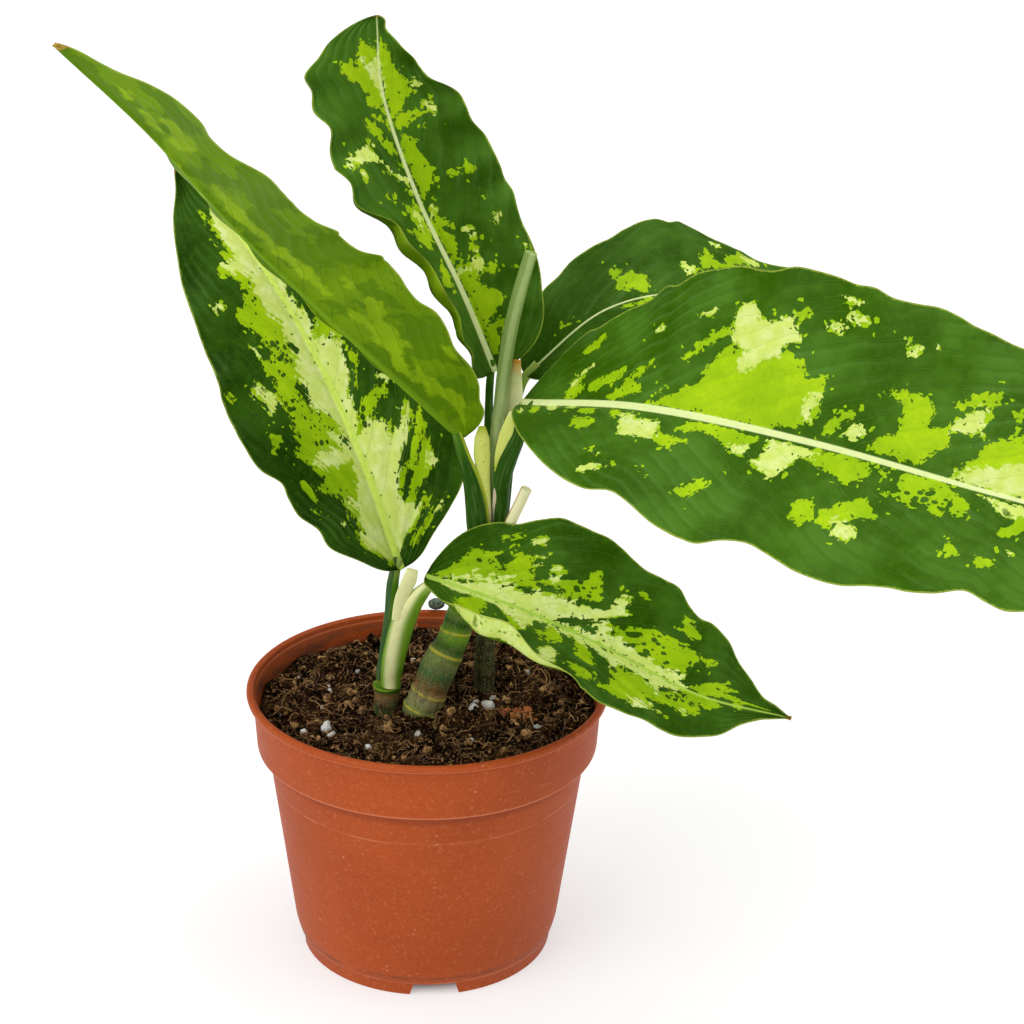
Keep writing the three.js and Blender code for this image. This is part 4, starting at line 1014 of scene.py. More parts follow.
def perlite_material():
    s = Shader("perlite")
    place = s.position()
    pits = s.cells(place, 1300.0)
    grey = s.noise(place, 300.0, 3.0)
    colour = s.mix(s.step(grey, 0.35, 0.7), (0.50, 0.47, 0.43), (0.80, 0.79, 0.76))
    colour = s.tinted(colour, s.step(pits, 0.25, 0.05), 0.5, (0.30, 0.24, 0.19))
    return s.finish(colour, 0.8, s.total(pits, grey), 0.0004, 0.9)


def moss_material():
    s = Shader("mossy_clod")
    place = s.position()
    tufts = s.noise(place, 900.0, 3.0, 0.65)
    cloud = s.noise(place, 250.0, 2.0)
    colour = s.mix(s.step(tufts, 0.35, 0.7), (0.045, 0.06, 0.045), (0.20, 0.26, 0.20))
    colour = s.tinted(colour, s.step(cloud, 0.5, 0.7), 0.6, (0.10, 0.13, 0.05))
    return s.finish(colour, 0.95, tufts, 0.0006, 1.0)


def floor_material():
    s = Shader("studio_floor")
    s.set("Base Color", (0.52, 0.52, 0.52))
    s.set("Roughness", 0.9)
    s.set("Specular IOR Level", 0.1)
    s.set("Emission Color", (1.0, 1.0, 1.0))
    x, y, _ = s.parts(s.position())
    away = s.math("SQRT", s.total(s.product(x, x), s.product(y, y)))
    s.set("Emission Strength", s.product(s.step(away, *FLOOR_GLOW_EDGE), FLOOR_GLOW))
    return s.material


# ---- Leaves ----
BLADE_ROWS = 210
BLADE_HALF_COLUMNS = 38
COLUMN_CROWDING = 1.35  # columns crowd towards the midrib above 1
BLADE_THICKNESS = 0.55
RIB_HALF_WIDTH = 1.1
RIB_LEAST_HALF_WIDTH = 0.12
RIB_DEPTH = 1.8
CREST_HEIGHT, CREST_WIDTH = 0.35, 0.8  # the midrib's crest on the upper face
TROUGH_DEPTH, TROUGH_WIDTH, TROUGH_GAP = 0.5, 0.9, 0.4  # the hollow along each side of it
MIDRIB_SAMPLES = 200
NUMBER_SPACING = 37.0  # sets the leaves' noises apart
STEM_SPACING = 90  # and the stems'
DRY_FROM = 0.975  # share of the length where the tip withers, unless the leaf says otherwise
VEIN_LEAN = (1.35, 0.8)  # how far a lateral vein runs towards the tip, per mm across, and its curve
QUILT_HEIGHT = 0.20
FAR_IN = 9  # mm; distances into the patches stop there
SPECK_REACH = 1.5  # mm past a patch's outline that its dark flecks still reach
# How a patch changes the pale and the cream fields, and how speckled it is.
TONES = {"lime": (1, -1, 0.05), "limes": (1, -1, 1), "cream": (1, 1, 0.05), "creams": (1, 1, 0.8),
         "dark": (-1, 0, 0)}


def curve_through(values, t):
    """Smooth curve through evenly spaced values, as the solids' margins follow it."""
    table = np.asarray(values, float)
    last = len(table) - 1
    i = np.minimum(np.floor(t * last).astype(int), last - 1)
    w = t * last - i
    before, start = table[np.maximum(i - 1, 0)], table[i]
    end, after = table[i + 1], table[np.minimum(i + 2, last)]
    out, into, rise = (end - before) / 2, (after - start) / 2, end - start
    return start + out * w + (3 * rise - 2 * out - into) * w**2 + (out + into - 2 * rise) * w**3


def plain_half_width(leaf, t, side):
    """Half width without the margin's own waver."""
    inner = np.minimum(t / leaf["widest"], 1)
    outer = np.minimum((1 - t) / (1 - leaf["widest"]), 1)
    shape = np.where(t < leaf["widest"], (1 - (1 - inner) ** 2) ** leaf["base"],
                     (1 - (1 - outer) ** 2) ** leaf["tip"])
    return np.where(side < 0, leaf["half_width"][0], leaf["half_width"][1]) * shape


def half_width(leaf, t, side):
    waver = np.where(side < 0, curve_through(leaf["left_edge"], t), curve_through(leaf["right_edge"], t))
    return np.maximum(plain_half_width(leaf, t, side) + waver, MIN_HALF_WIDTH)


def bend(values, t):
    base, middle, tip = values
    return base * (1 - t) * (1 - 2 * t) + middle * 4 * t * (1 - t) + tip * t * (2 * t - 1)


def rise_angle(leaf, t, v):
    side = np.sign(v)
    angle = np.radians(np.where(side < 0, leaf["fold"][0], leaf["fold"][1])) * (1 - FOLD_TAPER * t)
    curl = leaf.get("curl")
    if curl:
        share = np.clip((t - curl["start"]) / (curl["end"] - curl["start"]), 0, 1)
        turn = np.radians(curl["turn"]) * np.sin(np.pi * share) ** 0.7 * np.abs(v) ** CURL_SHARPNESS
        angle = angle + np.where(side == curl["side"], turn, 0)
    return angle


def blade_surface(leaf, t, v):
    """Points of the blade's middle surface and its normals, as the solid has them."""
    ahead = tangents(leaf["midrib"], t)
    flat_side = unit(np.cross(ahead, np.asarray(leaf["faces"], float)))
    flat_up = np.cross(flat_side, ahead)
    roll = np.radians(bend(leaf["roll"], t))[..., None]
    side = flat_side * np.cos(roll) + flat_up * np.sin(roll)
    up = flat_up * np.cos(roll) - flat_side * np.sin(roll)
    sign = np.where(v < 0, -1.0, 1.0)
    slices = 12
    slice_width = np.abs(v) * half_width(leaf, t, sign) / slices
    points = smooth_path(leaf["midrib"], t)
    for k in range(slices):
        angle = rise_angle(leaf, t, v * (k + 0.5) / slices)
        points = points + side * (sign * np.cos(angle) * slice_width)[..., None]
        points = points + up * (np.sin(angle) * slice_width)[..., None]
    normals = up * np.cos(angle)[..., None] - side * (sign * np.sin(angle))[..., None]
    phase = np.where(sign < 0, leaf["wave_phase"][0], leaf["wave_phase"][1])
    wave = np.sin(2 * np.pi * (leaf["waves"] * t + phase)) * np.sin(np.pi * t) ** 0.5
    return points + normals * (leaf["wave_height"] * wave * v * v)[..., None], normals


def read_patches(text):
    """(tone, outline in shares of the length and half width) for each patch."""
    rows = text.replace("\n+", "").strip().splitlines()
    for row in rows:
        tone, *points = row.split()
        yield tone, np.array([[float(x) / 100 for x in point.split(",")] for point in points])


def inside_distance(x, y, outline):
    """Distance from each point to a closed outline, positive inside it."""
    ends = np.roll(outline, -1, axis=0)
    nearest = np.full(x.shape, 1e9)
    inside = np.zeros(x.shape, bool)
    for (ax, ay), (bx, by) in zip(outline, ends):
        squared = max((bx - ax) ** 2 + (by - ay) ** 2, 1e-9)
        share = np.clip(((x - ax) * (bx - ax) + (y - ay) * (by - ay)) / squared, 0, 1)
        nearest = np.minimum(nearest, np.hypot(x - ax - share * (bx - ax), y - ay - share * (by - ay)))
        crosses = (ay > y) != (by > y)
        if ay != by:
            inside ^= crosses & (x < (bx - ax) * (y - ay) / (by - ay) + ax)
    return np.where(inside, nearest, -nearest)


def patch_fields(name, x, y, length, widths):
    """Distances into the pale patches and the cream ones, and how speckled each point is."""
    pale = np.full(x.shape, -float(FAR_IN))
    cream = pale.copy()
    speck = np.zeros(x.shape)
    for tone, outline in read_patches(PATCHES[name]):
        scale = np.where(outline[:, 1] < 0, widths[0], widths[1])
        reach = inside_distance(x, y, np.column_stack([outline[:, 0] * length, outline[:, 1] * scale]))
        pale_sign, cream_sign, specks = TONES[tone]
        pale = np.maximum(pale, reach) if pale_sign > 0 else np.minimum(pale, -reach)
        if cream_sign > 0:
            cream = np.maximum(cream, reach)
        elif cream_sign < 0:
            cream = np.minimum(cream, -reach)
        speck = np.where(reach > -SPECK_REACH, specks, speck)
    return np.clip(pale, -FAR_IN, FAR_IN), np.clip(cream, -FAR_IN, FAR_IN), speck


def blade_skins(leaf, t, v, root, rib_distance, rib_half):
    """The blade's upper and lower face: quilted between its veins, with the midrib in relief."""
    points, normals = blade_surface(leaf, t, v)
    quilt = QUILT_HEIGHT * np.cos(2 * np.pi * root / VEIN_PITCH) * ramp(0.06, 0.3, np.abs(v)) * (1 - v**8)
    crest = CREST_HEIGHT * np.exp(-((rib_distance / CREST_WIDTH) ** 2)) * (1 - t)
    beside = (rib_distance - rib_half - TROUGH_GAP) / TROUGH_WIDTH
    trough = TROUGH_DEPTH * np.exp(-(beside**2)) * (1 - t) ** 0.5
    middle = points + normals * (quilt - trough)[..., None]
    half_thick = BLADE_THICKNESS / 2 * (1 - 0.6 * np.abs(v) ** 6)
    rib_under = RIB_DEPTH * (1 - 0.75 * t) * np.exp(-((rib_distance / (0.75 * RIB_HALF_WIDTH)) ** 2))
    upper = middle + normals * (half_thick + crest)[..., None]
    lower = middle - normals * (half_thick + rib_under * ramp(0, 0.03, t))[..., None]
    return np.vstack([upper.reshape(-1, 3), lower.reshape(-1, 3)])


def add_blade(shells, name, leaf, seed):
    share = (np.arange(BLADE_HALF_COLUMNS + 1) / BLADE_HALF_COLUMNS) ** COLUMN_CROWDING
    columns = np.concatenate([-share[:0:-1], share])
    t, v = np.meshgrid(np.linspace(0, 1, BLADE_ROWS), columns, indexing="ij")
    width = half_width(leaf, t, v)
    plain = np.maximum(plain_half_width(leaf, t, v), MIN_HALF_WIDTH)
    length = run_length(leaf["midrib"], MIDRIB_SAMPLES)
    nominal = np.where(v < 0, leaf["half_width"][0], leaf["half_width"][1])
    reach = np.abs(v) * nominal
    root = t * length - VEIN_LEAN[0] * reach - VEIN_LEAN[1] * reach**2 / max(leaf["half_width"])
    rib_distance = np.abs(v) * width
    rib_half = RIB_HALF_WIDTH * (1 - t) ** 0.7 * leaf["rib"] + RIB_LEAST_HALF_WIDTH
    pale, cream, speck = patch_fields(name, t * length, nominal * v * width / plain, length,
                                      leaf["half_width"])
    on_leaf = np.stack([t * length, v * width, np.full_like(t, NUMBER_SPACING * seed)], axis=-1)
    fields = dict(leaf_place=on_leaf, root=root, pale=pale, cream=cream, speck=speck,
                  rib=rib_distance - rib_half, margin=(1 - np.abs(v)) * width,
                  dry=ramp(leaf.get("dry_from", DRY_FROM), 1.0, t))
    # The same values on both faces.
    both = {key: np.concatenate([values.reshape(t.size, -1)] * 2).squeeze() for key, values in fields.items()}
    shells.add(blade_skins(leaf, t, v, root, rib_distance, rib_half), sheet_faces(*t.shape), 0, **both,
               under=np.repeat([0.0, leaf["under"]], t.size), lift=leaf["lift"], feather=leaf["feather"])


def stem_values(path, t, angle, radius, seed):
    """Place on a stem, mm: along it, and round it; the seed keeps the stems' noises apart."""
    start = STEM_SPACING * seed
    return np.column_stack([t * run_length(path) + start, radius * np.cos(angle), radius * np.sin(angle)])


def two_sided(front, back, t, angle):
    """The front's colours, turning into the back's round the stem."""
    share = ramp(-0.25, 0.45, np.sin(angle))[:, None]
    return along(front, t) * (1 - share) + along(back, t) * share


def add_stem(shells, stem, seed, index=0, flatness=1.0, steps=72, sides=40):
    depths = [flatness * radius for radius in stem["radii"]]
    vertices, faces, t, angle = tube(stem["path"], stem["radii"], depths, steps, sides)
    tint = two_sided(stem["front"], stem["back"], t, angle)
    stripe = stem.get("stripe")
    if stripe:
        centre = np.radians(along(stripe["angle"], t))
        off = np.abs((angle - centre + np.pi) % (2 * np.pi) - np.pi)
        edge = math.radians(stripe["reach"])
        blur = stripe.get("blur", 0.12)
        share = ramp(edge + blur, edge - blur, off)[:, None]
        tint = tint * (1 - share) + np.array(stripe["colour"]) * share
    shells.add(vertices, faces, index, tint=tint,
               stem_place=stem_values(stem["path"], t, angle, along(stem["radii"], t), seed))


def add_sheath(shells, sheath, seed, index=0):
    widths = sheath["half_widths"]
    vertices, faces, t, angle = tube(sheath["path"], widths, [SHEATH_HALF_DEPTH] * 2, steps=60, sides=24)
    shells.add(vertices, faces, index, tint=along(sheath["colours"], t), spots=sheath.get("spots", 0.0),
               stem_place=stem_values(sheath["path"], t, angle, along(widths, t), seed))


# What the materials read from the vertices.
BLADE_KEYS = ("leaf_place", "root", "pale", "cream", "speck", "under", "lift", "feather", "rib",
              "margin", "dry")
STEM_KEYS = ("tint", "rough", "spots", "stem_place")
blade_skin, stem_skin = leaf_material(), stem_material()


def finish_piece(piece, node=None):
    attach(piece, "root")
    if node:
        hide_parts(node)


for seed, (name, leaf) in enumerate(LEAVES.items(), start=1):
    shells = Shells(*BLADE_KEYS, *STEM_KEYS)
    add_blade(shells, name, leaf, seed)
    add_stem(shells, PETIOLES[name], seed, 1, PETIOLE_FLATNESS)
    if name in SHEATHS:
        add_sheath(shells, SHEATHS[name], seed + 10, 1)
    finish_piece(shells.build(name + "_grown", [blade_skin, stem_skin], smooth_angle=60), name)

# ---- Spear and canes ----
shells = Shells(*STEM_KEYS)
add_stem(shells, SPEAR, seed=21)
add_sheath(shells, SPEAR_SHEATH, seed=22)
finish_piece(shells.build("spear_grown", [stem_skin]), "spear")


CANE_STEPS, CANE_SIDES = 320, 40
SCAR_SWELL, SCAR_WIDTH = 0.055, 0.9  # a leaf scar's ring: share of the radius and mm
HOLLOW_DEPTH, HOLLOW_WIDTH, HOLLOW_GAP = 0.035, 1.5, 2.0  # the hollow above it
SCAR_LINE_WIDTH = 0.42  # of its coloured line, mm
SCAR_LINE_SHARE = 0.9


def add_cane(shells, cane, seed):
    rings = np.asarray(cane["rings"])
    length = run_length(cane["path"])

    def ring_share(t, angle, half_width, offset=0.0):
        """How near t is to a leaf scar's ring, from 0 to 1; each ring dips a little to one side."""
        height = t * length + 0.45 * np.sin(angle + 9 * t)
        return sum(np.exp(-(((height - r * length - offset) / half_width) ** 2)) for r in rings)

    def shape(t, angle):
        swell = SCAR_SWELL * ring_share(t, angle, SCAR_WIDTH)
        return 1 + swell - HOLLOW_DEPTH * ring_share(t, angle, HOLLOW_WIDTH, HOLLOW_GAP)

    radii = cane["radii"]
    vertices, faces, t, angle = tube(cane["path"], radii, radii, CANE_STEPS, CANE_SIDES, shape=shape)
    share = np.minimum(ring_share(t, angle, SCAR_LINE_WIDTH), 1)[:, None] * SCAR_LINE_SHARE
    tint = along(cane["colours"], t) * (1 - share) + np.array(cane["ring_colour"]) * share
    shells.add(vertices, faces, 0, tint=tint, rough=along(cane["rough"], t),
               stem_place=stem_values(cane["path"], t, angle, along(radii, t), seed))


for seed, (name, cane) in enumerate(CANES.items(), start=31):
    shells = Shells(*STEM_KEYS)
    add_cane(shells, cane, seed)
    if name == "cane_middle":
        add_stem(shells, STUB, seed=41, steps=24)
    finish_piece(shells.build(name + "_grown", [stem_skin]), name)


# ---- Pot ----
POT_SEGMENTS = 224
POT_SHARP_ANGLE = 32
BODY_ROWS = 24
NOTCH_TAPER = 1.6
DIRT_RISE = 4


def between(x, x0, x1, y0, y1):
    return y0 + (y1 - y0) * (x - x0) / (x1 - x0)


def inner_radius(z):
    if z > COLLAR_BOTTOM + 2:
        return between(z, COLLAR_BOTTOM, POT_HEIGHT, COLLAR_RADIUS, COLLAR_TOP_RADIUS) - WALL
    return between(z, 0, COLLAR_BOTTOM, BODY_BOTTOM_RADIUS, BODY_TOP_RADIUS) - WALL


def pot_profile():
    """Radius and height round the pot's section, from under the foot up the outside and down inside."""
    top = POT_HEIGHT
    lip_bottom = top - LIP_HEIGHT
    collar_low = COLLAR_BOTTOM + 1.2
    collar = [(between(share, 0, 1, COLLAR_RADIUS, COLLAR_TOP_RADIUS),
               between(share, 0, 1, collar_low, lip_bottom)) for share in (0.35, 0.7)]
    body = [(between(z, FOOT_HEIGHT, COLLAR_BOTTOM - 0.6, BODY_BOTTOM_RADIUS, BODY_TOP_RADIUS), z)
            for z in np.linspace(FOOT_HEIGHT + BODY_CORNER + 1, COLLAR_BOTTOM - 0.6, BODY_ROWS)]
    wall = [(inner_radius(z), z)
            for z in (lip_bottom - 1.5, COLLAR_BOTTOM + 3, COLLAR_BOTTOM - 1, FLOOR_TOP)]
    return [
        (FOOT_RADIUS - 3.2, 0), (FOOT_RADIUS - 0.5, 0), (FOOT_RADIUS - 0.1, 0.2), (FOOT_RADIUS, 0.5),
        (FOOT_RADIUS + 0.2, FOOT_HEIGHT - 0.5), (FOOT_RADIUS + 0.4, FOOT_HEIGHT - 0.2),
        (BODY_BOTTOM_RADIUS - 1.15, FOOT_HEIGHT), (BODY_BOTTOM_RADIUS - 0.85, FOOT_HEIGHT + 0.3),
        (BODY_BOTTOM_RADIUS - 0.45, FOOT_HEIGHT + 0.25 * BODY_CORNER),
        (BODY_BOTTOM_RADIUS - 0.05, FOOT_HEIGHT + 0.5 * BODY_CORNER),
        (BODY_BOTTOM_RADIUS + 0.3, FOOT_HEIGHT + 0.75 * BODY_CORNER),
        (BODY_BOTTOM_RADIUS + 0.6, FOOT_HEIGHT + BODY_CORNER), *body,
        (BODY_TOP_RADIUS + 0.5, COLLAR_BOTTOM), (COLLAR_RADIUS - 0.6, COLLAR_BOTTOM + 0.1),
        (COLLAR_RADIUS - 0.15, COLLAR_BOTTOM + 0.5), (COLLAR_RADIUS, collar_low), *collar,
        (COLLAR_TOP_RADIUS, lip_bottom - 0.3), (COLLAR_TOP_RADIUS + 0.3, lip_bottom),
        (LIP_RADIUS - 0.6, lip_bottom + 0.1), (LIP_RADIUS - 0.15, lip_bottom + 0.3),
        (LIP_RADIUS, lip_bottom + 0.8), (LIP_RADIUS, top - 1.1), (LIP_RADIUS - 0.15, top - 0.6),
        (LIP_RADIUS - 0.55, top - 0.2), (LIP_RADIUS - 1.2, top), (LIP_INNER_RADIUS + 0.7, top - 0.15),
        (LIP_INNER_RADIUS + 0.2, top - 0.6), (LIP_INNER_RADIUS, top - 1.3),
        (LIP_INNER_RADIUS - 0.3, lip_bottom), *wall, (0, FLOOR_TOP), (0, FLOOR_TOP - 2),
        (FOOT_RADIUS - 4.2, FLOOR_TOP - 2),
    ]


def circle(radius, z, angles):
    return np.column_stack([radius * np.cos(angles), radius * np.sin(angles), np.full(len(angles), z)])


def revolve(profile, segments):
    """Closed solid of revolution round the pot's axis, with one vertex where the radius is 0."""
    vertices, rows = [], []
    for radius, z in profile:
        start = len(vertices)
        count = 1 if radius == 0 else segments
        vertices.extend(circle(radius, z, 2 * np.pi * np.arange(count) / segments))
        rows.append([start + (0 if count == 1 else j % segments) for j in range(segments + 1)])
    faces = []
    for low, high in zip(rows, rows[1:] + rows[:1]):
        for j in range(segments):
            corners = tuple(dict.fromkeys([low[j], low[j + 1], high[j + 1], high[j]]))
            if len(corners) > 2:
                faces.append(corners)
    return np.array(vertices), faces


def cut_away(target, cutter):
    modifier = target.modifiers.new("cut", "BOOLEAN")
    modifier.operation = "DIFFERENCE"
    modifier.solver = "EXACT"
    modifier.object = cutter
    bpy.context.view_layer.objects.active = target
    with bpy.context.temp_override(object=target, active_object=target):
        bpy.ops.object.modifier_apply(modifier="cut")
    bpy.data.objects.remove(cutter)


def pot_cutters():
    """The foot's notches and the drain holes, to be cut out of the moulding."""
    cutters = Shells()
    low, high = NOTCH_WIDTH / 2, NOTCH_WIDTH / 2 - NOTCH_TAPER
    for i in range(NOTCH_COUNT):
        angle = i * 2 * math.pi / NOTCH_COUNT - math.pi / 2 + NOTCH_TURN
        out = np.array([math.cos(angle), math.sin(angle), 0])
        side = np.array([-math.sin(angle), math.cos(angle), 0])
        section = [(-low, -1), (low, -1), (high, FOOT_HEIGHT - 0.2), (-high, FOOT_HEIGHT - 0.2)]
        ends = [out * distance + side * s + np.array([0, 0, z])
                for distance in (FOOT_RADIUS - 8, FOOT_RADIUS + 4) for s, z in section]
        sides = [(j, (j + 1) % 4, 4 + (j + 1) % 4, 4 + j) for j in range(4)]
        cutters.add(ends, sides + [(3, 2, 1, 0), (4, 5, 6, 7)])
    for i in range(DRAIN_HOLE_COUNT):
        angle = (i + 0.5) * 2 * math.pi / DRAIN_HOLE_COUNT
        x, y = DRAIN_HOLE_CIRCLE * math.cos(angle), DRAIN_HOLE_CIRCLE * math.sin(angle)
        radius = [DRAIN_HOLE_RADIUS, DRAIN_HOLE_RADIUS]
        hole = [[x, y, 1], [x, y, FLOOR_TOP + 2]]
        cutters.add(*tube(hole, radius, radius, steps=1, sides=32)[:2])
    return cutters.build("pot_cutters", [])


def pot_moulding():
    vertices, faces = revolve(pot_profile(), POT_SEGMENTS)
    pot = make_object("pot_moulding", vertices, faces, [pot_material()], smooth_angle=POT_SHARP_ANGLE)
    cut_away(pot, pot_cutters())
    pot.data.shade_smooth()
    pot.data.set_sharp_from_angle(angle=math.radians(POT_SHARP_ANGLE))
    # The wall is dirty inside, up to a little above the peat.
    at = (np.array([vertex.co for vertex in pot.data.vertices]) - POT_AXIS) / MM
    radius, z = np.hypot(at[:, 0], at[:, 1]), at[:, 2]
    inside = (radius < [inner_radius(height) + 0.6 for height in z]) & (z > FLOOR_TOP)
    add_attribute(pot.data, "dirt", inside & (z < SOIL_TOP + DIRT_RISE))
    add_attribute(pot.data, "outside", ~inside)
    return pot


finish_piece(pot_moulding(), "pot")


# ---- Peat ----
SOIL_LUMPS = 1.1
SOIL_SEED = 7
SOIL_RINGS = 74
SOIL_SEGMENTS = 250
SOIL_CLEARANCE = 0.4
SOIL_BOTTOM = FLOOR_TOP + 0.3
SOIL_EDGE = SOIL_TOP - 3  # the height of the top's outer edge
SOIL_RIM = inner_radius(SOIL_EDGE) - SOIL_CLEARANCE
SOIL_RIPPLES = 14
DRAW_FACTOR, DRAW_MODULUS = 16807, 2147483647
CRUMB_COUNT, RED_CRUMB_COUNT, FIBRE_COUNT = 1600, 60, 760
FIBRE_POINTS, FIBRE_CURL = 7, 0.55
CANE_FEET = [(-3.2, -7.9, 6.2), (-14.1, -5.6, 4.5), (18, 9.2, 3.5)]  # x, y and clear radius at the peat


def lump_source(seed):
    """The same random numbers from 0 to 1 as the solid's top is made from."""
    state = seed
    while True:
        state = state * DRAW_FACTOR % DRAW_MODULUS
        yield state / DRAW_MODULUS


def lumpy_top():
    draw = lump_source(SOIL_SEED)
    turn = 2 * math.pi
    ripples = [(turn * next(draw), 9 + 26 * next(draw), turn * next(draw)) for _ in range(SOIL_RIPPLES)]

    def height(x, y):
        total = np.zeros_like(x)
        for direction, length, phase in ripples:
            run = x * math.cos(direction) + y * math.sin(direction)
            total = total + np.sin(2 * np.pi * run / length + phase) / 3
        return SOIL_TOP + SOIL_LUMPS * total

    return height


soil_height = lumpy_top()


def ground(x, y):
    """Height of the peat's top at one point."""
    return float(soil_height(np.array([float(x)]), np.array([float(y)]))[0])


def peat_bed():
    """The peat's body, its top crumbly."""
    angles = 2 * np.pi * np.arange(SOIL_SEGMENTS) / SOIL_SEGMENTS
    rings = [circle(inner_radius(z) - SOIL_CLEARANCE, z, angles)
             for z in (SOIL_BOTTOM, COLLAR_BOTTOM - 0.8, COLLAR_BOTTOM + 3.2, SOIL_EDGE)]
    for i in range(SOIL_RINGS):
        flat = circle(SOIL_RIM * (1 - i / SOIL_RINGS), 0.0, angles)
        x, y, _ = flat.T
        crumbs = 1.7 * ripple(flat, 0.16, 4) + 1.1 * np.abs(ripple(flat, 0.7, 3, 5.0))
        rings.append(np.column_stack([x, y, soil_height(x, y) + crumbs * min(1, 0.35 + i / 4)]))
    vertices = np.vstack([*rings, [[0, 0, ground(0, 0)]], [[0, 0, SOIL_BOTTOM]]])
    faces = grid_faces(len(rings), SOIL_SEGMENTS, wrap=True)
    last = (len(rings) - 1) * SOIL_SEGMENTS
    for j in range(SOIL_SEGMENTS):
        faces.append((last + j, last + (j + 1) % SOIL_SEGMENTS, len(vertices) - 2))
        faces.append(((j + 1) % SOIL_SEGMENTS, j, len(vertices) - 1))
    return make_object("peat_bed", vertices, faces, [peat], attributes={"tone": np.zeros(len(vertices))},
                       smooth_angle=180)


def sphere(levels):
    ball = bmesh.new()
    bmesh.ops.create_icosphere(ball, subdivisions=levels, radius=1)
    ball.verts.index_update()
    vertices = np.array([vertex.co for vertex in ball.verts])
    faces = [tuple(vertex.index for vertex in face.verts) for face in ball.faces]
    ball.free()
    return vertices, faces


SMALL_BALL, ROUND_BALL = sphere(1), sphere(2)
rng = np.random.default_rng(11)
peat = peat_material()


def open_spot(reach):
    """A point of the peat clear of the canes."""
    while True:
        radius, angle = reach * math.sqrt(rng.random()), 2 * math.pi * rng.random()
        x, y = radius * math.cos(angle), radius * math.sin(angle)
        if all(math.hypot(x - cx, y - cy) > clear for cx, cy, clear in CANE_FEET):
            return x, y


def add_lump(shells, ball, centre, size, roughness, **values):
    """A bumpy, stretched and turned ball."""
    vertices, faces = ball
    stretch = size * (0.7 + 0.6 * rng.random(3))
    turn = np.array(Matrix.Rotation(2 * math.pi * rng.random(), 3, Vector(rng.normal(size=3))))
    bumps = 1 + roughness * ripple(vertices, 1.3, 2, float(rng.random() * 50))[:, None]
    shells.add((vertices * bumps * stretch) @ turn.T + centre, faces, 0, **values)


def peat_crumbs():
    """Loose crumbs from dark to brown, and the reddish lump's own."""
    shells = Shells("tone")
    for _ in range(CRUMB_COUNT):
        size = 0.4 + 1.7 * rng.random() ** 2.6
        x, y = open_spot(SOIL_RIM - 1.5 - size)
        z = ground(x, y) + 0.3 * size + 0.5 * rng.random()
        add_lump(shells, SMALL_BALL, (x, y, z), size, 0.6, tone=float(rng.random() ** 1.6 * 1.1))
    for _ in range(RED_CRUMB_COUNT):
        x, y = np.array(RED_LUMP) + 3.4 * rng.normal(size=2)
        z = ground(x, y) + 1.6 * rng.random()
        add_lump(shells, SMALL_BALL, (x, y, z), 0.5 + 1.2 * rng.random(), 0.6, tone=RED_TONE)
    return shells.build("peat_crumbs", [peat], smooth_angle=180)


def perlite_grains():
    shells = Shells("tone")
    for x, y, size in PERLITE:
        add_lump(shells, ROUND_BALL, (x, y, ground(x, y) + 0.25 * size), size * 0.38, 0.4)
    return shells.build("perlite_grains", [perlite_material()], smooth_angle=180)


def add_fibre(shells, start, heading, length, radius, tone, lift):
    """A root fibre lying over the peat: a wandering thread."""
    points, x, y = [], *start
    rise = lift * np.sin(np.pi * np.arange(FIBRE_POINTS) / (FIBRE_POINTS - 1))
    for k in range(FIBRE_POINTS):
        heading += FIBRE_CURL * rng.normal()
        x += math.cos(heading) * length / FIBRE_POINTS
        y += math.sin(heading) * length / FIBRE_POINTS
        if math.hypot(x, y) > SOIL_RIM - 1:
            x, y = x * 0.94, y * 0.94
        points.append([x, y, ground(x, y) + 0.9 + rise[k] + 0.8 * rng.random()])
    radii = [radius, 0.6 * radius]
    shells.add(*tube(points, radii, radii, steps=12, sides=4, across=(0, 0, 1))[:2], tone=tone)


def root_fibres():
    shells = Shells("tone")
    for _ in range(FIBRE_COUNT):
        start, heading = open_spot(SOIL_RIM - 3), 2 * math.pi * rng.random()
        length, radius = 3 + 10 * rng.random() ** 1.5, 0.08 + 0.17 * rng.random() ** 3
        tone, lift = float(rng.random() ** 2.2), 2.4 * rng.random() ** 2
        add_fibre(shells, start, heading, length, radius, tone, lift)
    return shells.build("root_fibres", [fibre_material()])


finish_piece(peat_bed(), "soil")
finish_piece(peat_crumbs())
finish_piece(perlite_grains())
finish_piece(root_fibres())


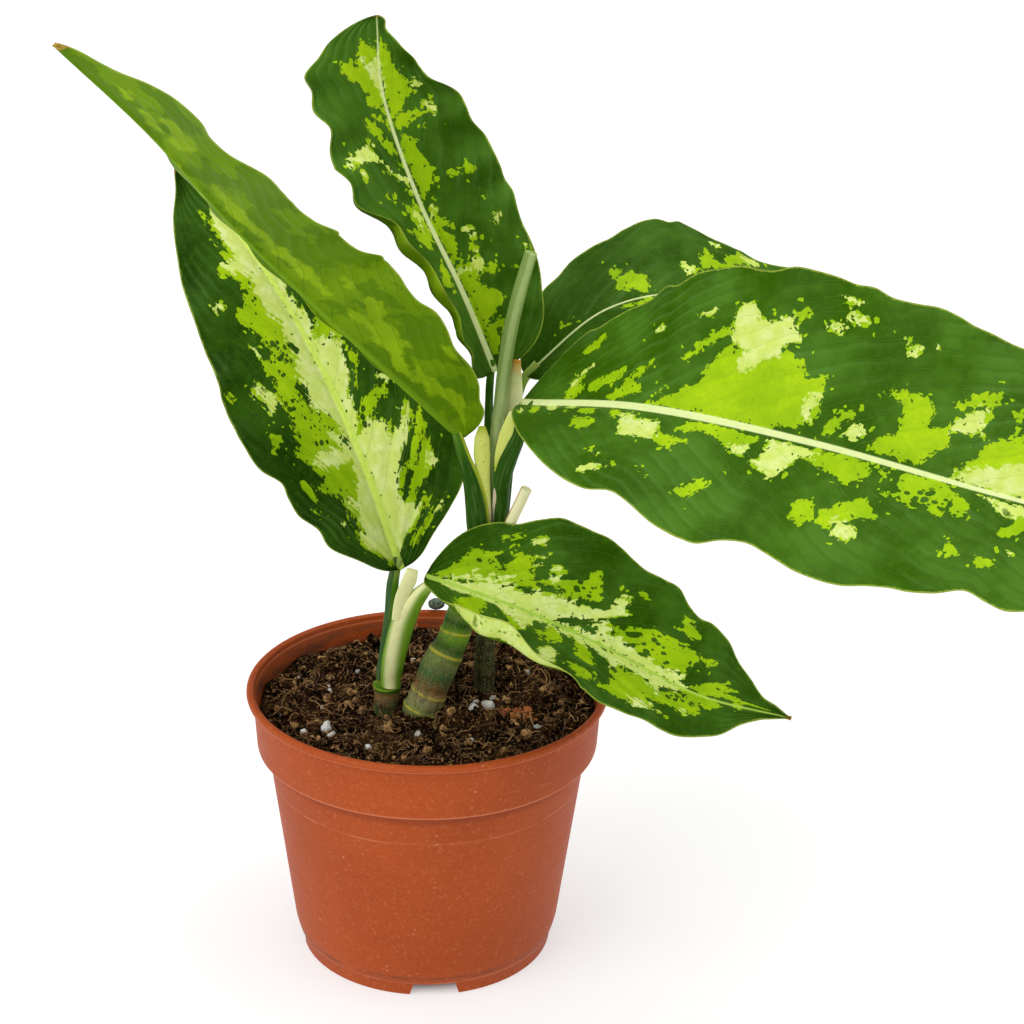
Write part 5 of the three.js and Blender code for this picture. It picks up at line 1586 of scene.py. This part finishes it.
# ---- Mossy clod on the rim ----
def mossy_clod():
    vertices, faces = sphere(4)
    tufts = 1 + 0.10 * ripple(vertices, 2.2, 3) + 0.07 * ripple(vertices, 7.0, 2, 9.0)
    vertices = vertices * tufts[:, None] * np.array(CLOD["radii"]) * 0.97 + np.array(CLOD["centre"])
    return make_object("mossy_clod", vertices, faces, [moss_material()], smooth_angle=180)


finish_piece(mossy_clod(), "rim_clod")

# ---- Studio ----
SKY_STRENGTH = 0.42
FLOOR_RADIUS = 14


def studio_floor():
    bpy.ops.mesh.primitive_circle_add(vertices=96, radius=FLOOR_RADIUS, fill_type="NGON",
                                      location=tuple(POT_AXIS))
    floor = bpy.context.object
    floor.name = "studio_floor"
    floor.data.materials.append(floor_material())
    return floor


def white_sky():
    world = bpy.data.worlds.new("studio")
    world.use_nodes = True
    background = world.node_tree.nodes["Background"]
    background.inputs["Color"].default_value = (1, 1, 1, 1)
    background.inputs["Strength"].default_value = SKY_STRENGTH
    return world


def soft_sun(name, source, strength, spread):
    """Daylight-soft light from the direction source, spread degrees wide."""
    data = bpy.data.lights.new(name, "SUN")
    data.energy = strength
    data.angle = math.radians(spread)
    lamp = bpy.data.objects.new(name, data)
    bpy.context.scene.collection.objects.link(lamp)
    lamp.rotation_euler = Vector(source).to_track_quat("Z", "Y").to_euler()


def photo_camera():
    """The camera fitted to the photo by the pot's ellipses."""
    data = bpy.data.cameras.new("camera")
    data.lens = CAMERA_LENS
    data.sensor_width = CAMERA_SENSOR
    data.clip_start, data.clip_end = 0.01, 100
    camera = bpy.data.objects.new("camera", data)
    bpy.context.scene.collection.objects.link(camera)
    right, up, ahead = Vector(CAMERA_RIGHT), Vector(CAMERA_UP), Vector(CAMERA_FORWARD)
    turn = Matrix((right, up, -ahead)).transposed().to_4x4()
    camera.matrix_world = Matrix.Translation(Vector(POT_AXIS) + Vector(CAMERA_FROM_AXIS)) @ turn
    return camera


studio_floor()
bpy.context.scene.world = white_sky()
soft_sun("top", (0.05, 0.0, 1.0), 1.55, 60)
soft_sun("left_front", (-0.8, -0.7, 0.65), 1.40, 50)
soft_sun("right", (1.0, -0.1, 0.40), 0.55, 50)
bpy.context.scene.camera = photo_camera()
bpy.context.scene.view_settings.view_transform = "Standard"
